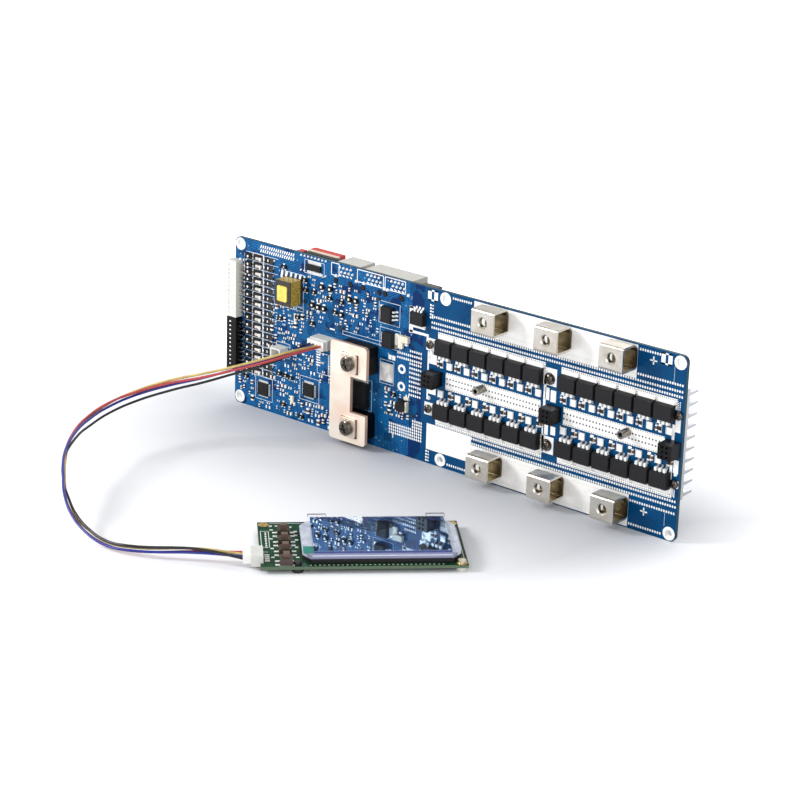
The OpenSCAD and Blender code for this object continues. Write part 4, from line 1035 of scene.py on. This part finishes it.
# Painted shade: all of the tray below 5.62 mm over the bench is painted near black, for the shade under it.
under = below(z, 5.62)
spread = speckle(spot, 0.25)
silver_paint = blend(spread, tint(192, 200, 216), tint(216, 221, 232))
near_edge = blend(below(y, -20.9), silver_paint, tint(150, 153, 182))
paint(tray, blend(under, near_edge, tint(16, 16, 18)))
gloss(tray, spread, 0.3, 0.4)
dress(tray, "display_frame")
glass = finish("screen_glass", tint(216, 228, 240), 0.004, 1.0)
x, y, z, spot = display_spot(glass)
haze = speckle(spot, 0.03)
mirror = blend(haze, tint(150, 178, 208), tint(162, 188, 214))
sawn_edge = below(z, DISPLAY_TOP + 5.1)
paint(glass, blend(sawn_edge, mirror, tint(108, 116, 158)))
dress(glass, "display_glass")
film = finish("clear_film", tint(150, 170, 196), 0.05, Alpha=0.04)
x, y, z, spot = display_spot(film)
gloss(film, speckle(spot, 0.1), 0.03, 0.08)
dress(film, "display_cover")
# Painted shadow: a black block fills the space under the tray and reaches a little past its near edge,
# standing in for the shade beneath it.
under_tray_shade = bmesh.new()
TRAY_EDGE = ((-25.5, -24.4), (43, -24.4), (47, -18.4), (46.6, 13.2), (-29.1, 13.2), (-29.5, -18.4))
floor_edge = [under_tray_shade.verts.new((at_x, at_y, DISPLAY_TOP + 0.02)) for at_x, at_y in TRAY_EDGE]
sheet = under_tray_shade.faces.new(floor_edge)
raised = bmesh.ops.extrude_face_region(under_tray_shade, geom=[sheet])["geom"]
bmesh.ops.translate(under_tray_shade, vec=(0, 0, 1.96), verts=[v for v in raised if isinstance(v, bmesh.types.BMVert)])
on_display(under_tray_shade, under_tray_shade.verts, 0, 0, 0)
painted_shade_black = worn("painted_shade_black", tint(12, 12, 14), 0.6, shade=0.7, grain=1)
keep("tray_shadow_block", under_tray_shade, painted_shade_black)
# Painted highlight: a thin bright strip along the tray's near edge, where the edge catches the light.
rim_highlight = bmesh.new()
tile(rim_highlight, 8.7, -23.6, 67.6, 0.2, 7.5, 7.2)
keep("tray_rim_highlight", rim_highlight, worn("painted_rim_highlight", tint(240, 244, 250), 0.3, shade=0.95, grain=1))
ear_lines = bmesh.new()
for ear_from, ear_to in ((-25.3, -16), (33.8, 43.2)):
    tile(ear_lines, (ear_from + ear_to) / 2, 24.55, ear_to - ear_from, 0.25, 9.2, 8.8)
    for ear_x in (ear_from + 0.1, ear_to - 0.1):
        tile(ear_lines, ear_x, 22.9, 0.25, 3.4, 9.2, 8.8)
film_edge = worn("film_edge", tint(96, 100, 126), 0.3, shade=0.85, grain=1)
keep("film_ear_edges", ear_lines, film_edge)
tab = bmesh.new()
tile(tab, -26.8, -16.8, 5, 8.2, 7.75, 7.62)
keep("film_tab", tab, worn("tab_green", tint(16, 128, 112), 0.4, shade=0.9, grain=1))

# ---------------------------------------------------------------- the heat sink and its pad
# An aluminium extrusion with ten tapering fins, sawn to length and left bare, over a soft thermal pad.

extruded = finish("extruded_aluminium", tint(218, 220, 223), 0.34, 1.0)
x, y, z, spot = place(extruded)
pulled = node("VectorMath", Operation="MULTIPLY", i0=spot, i1=(0.02, 2.0, 2.0)).outputs[0]
die_lines = speckle(pulled, 1.0, 3.0, 0.35, 0.65)
paint(extruded, blend(die_lines, tint(204, 206, 210), tint(226, 228, 230)))
gloss(extruded, die_lines, 0.26, 0.42)
bump(extruded, die_lines, 0.02)
dress(extruded, "heat_sink")
dress(worn("thermal_pad_grey", tint(150, 168, 180), 0.75, shade=0.9, grain=1.5, depth=0.05), "thermal_pad")

# ---------------------------------------------------------------- what stands on the back
# Network jacks in pale nylon with gilt contacts, the eight-way address switch on its raising socket,
# a lamp and a low light bar, all at the top edge.

dress(worn("jack_nylon", tint(198, 196, 190), 0.45, shade=0.93, grain=0.4, depth=0.01), "network_jack_single",
      "network_jack_double")
JACK_Z = 90.3
jack_contacts = bmesh.new()
for jack_x in JACK_XS:
    for k in range(8):
        brick(jack_contacts, jack_x + (k - 3.5) * 1.02, JACK_Z + 4.02, 0.42, 0.16, 2.4, 11, 1)
keep("jack_contacts", jack_contacts, gold_plate)

switch_body = finish("switch_body", tint(206, 46, 34), 0.32)
x, y, z, spot = place(switch_body)
cream = between(y, 6.3, 8.2)
shading = speckle(spot, 0.6)
red = blend(shading, tint(186, 36, 28), tint(212, 52, 40))
paint(switch_body, blend(cream, red, tint(222, 206, 184)))
bump(switch_body, shading, 0.01)
dress(switch_body, "address_switch")
dress(worn("switch_socket_black", tint(26, 25, 27), 0.45, shade=0.8, grain=1), "address_switch_socket")
dress(worn("slide_white", tint(236, 234, 228), 0.4, shade=0.93, grain=1),
      *(f"address_slider_{i}" for i in range(1, 9)))

lamps = finish("indicator_lenses", tint(150, 60, 50), 0.25)
x, y, z, spot = place(lamps)
bar = above(x, -60.0)
clouded = speckle(spot, 0.8)
red_lens = blend(clouded, tint(176, 44, 36), tint(206, 66, 54))
bar_grey = blend(clouded, tint(66, 64, 62), tint(92, 89, 85))
paint(lamps, blend(bar, red_lens, bar_grey))
dress(lamps, "indicators")
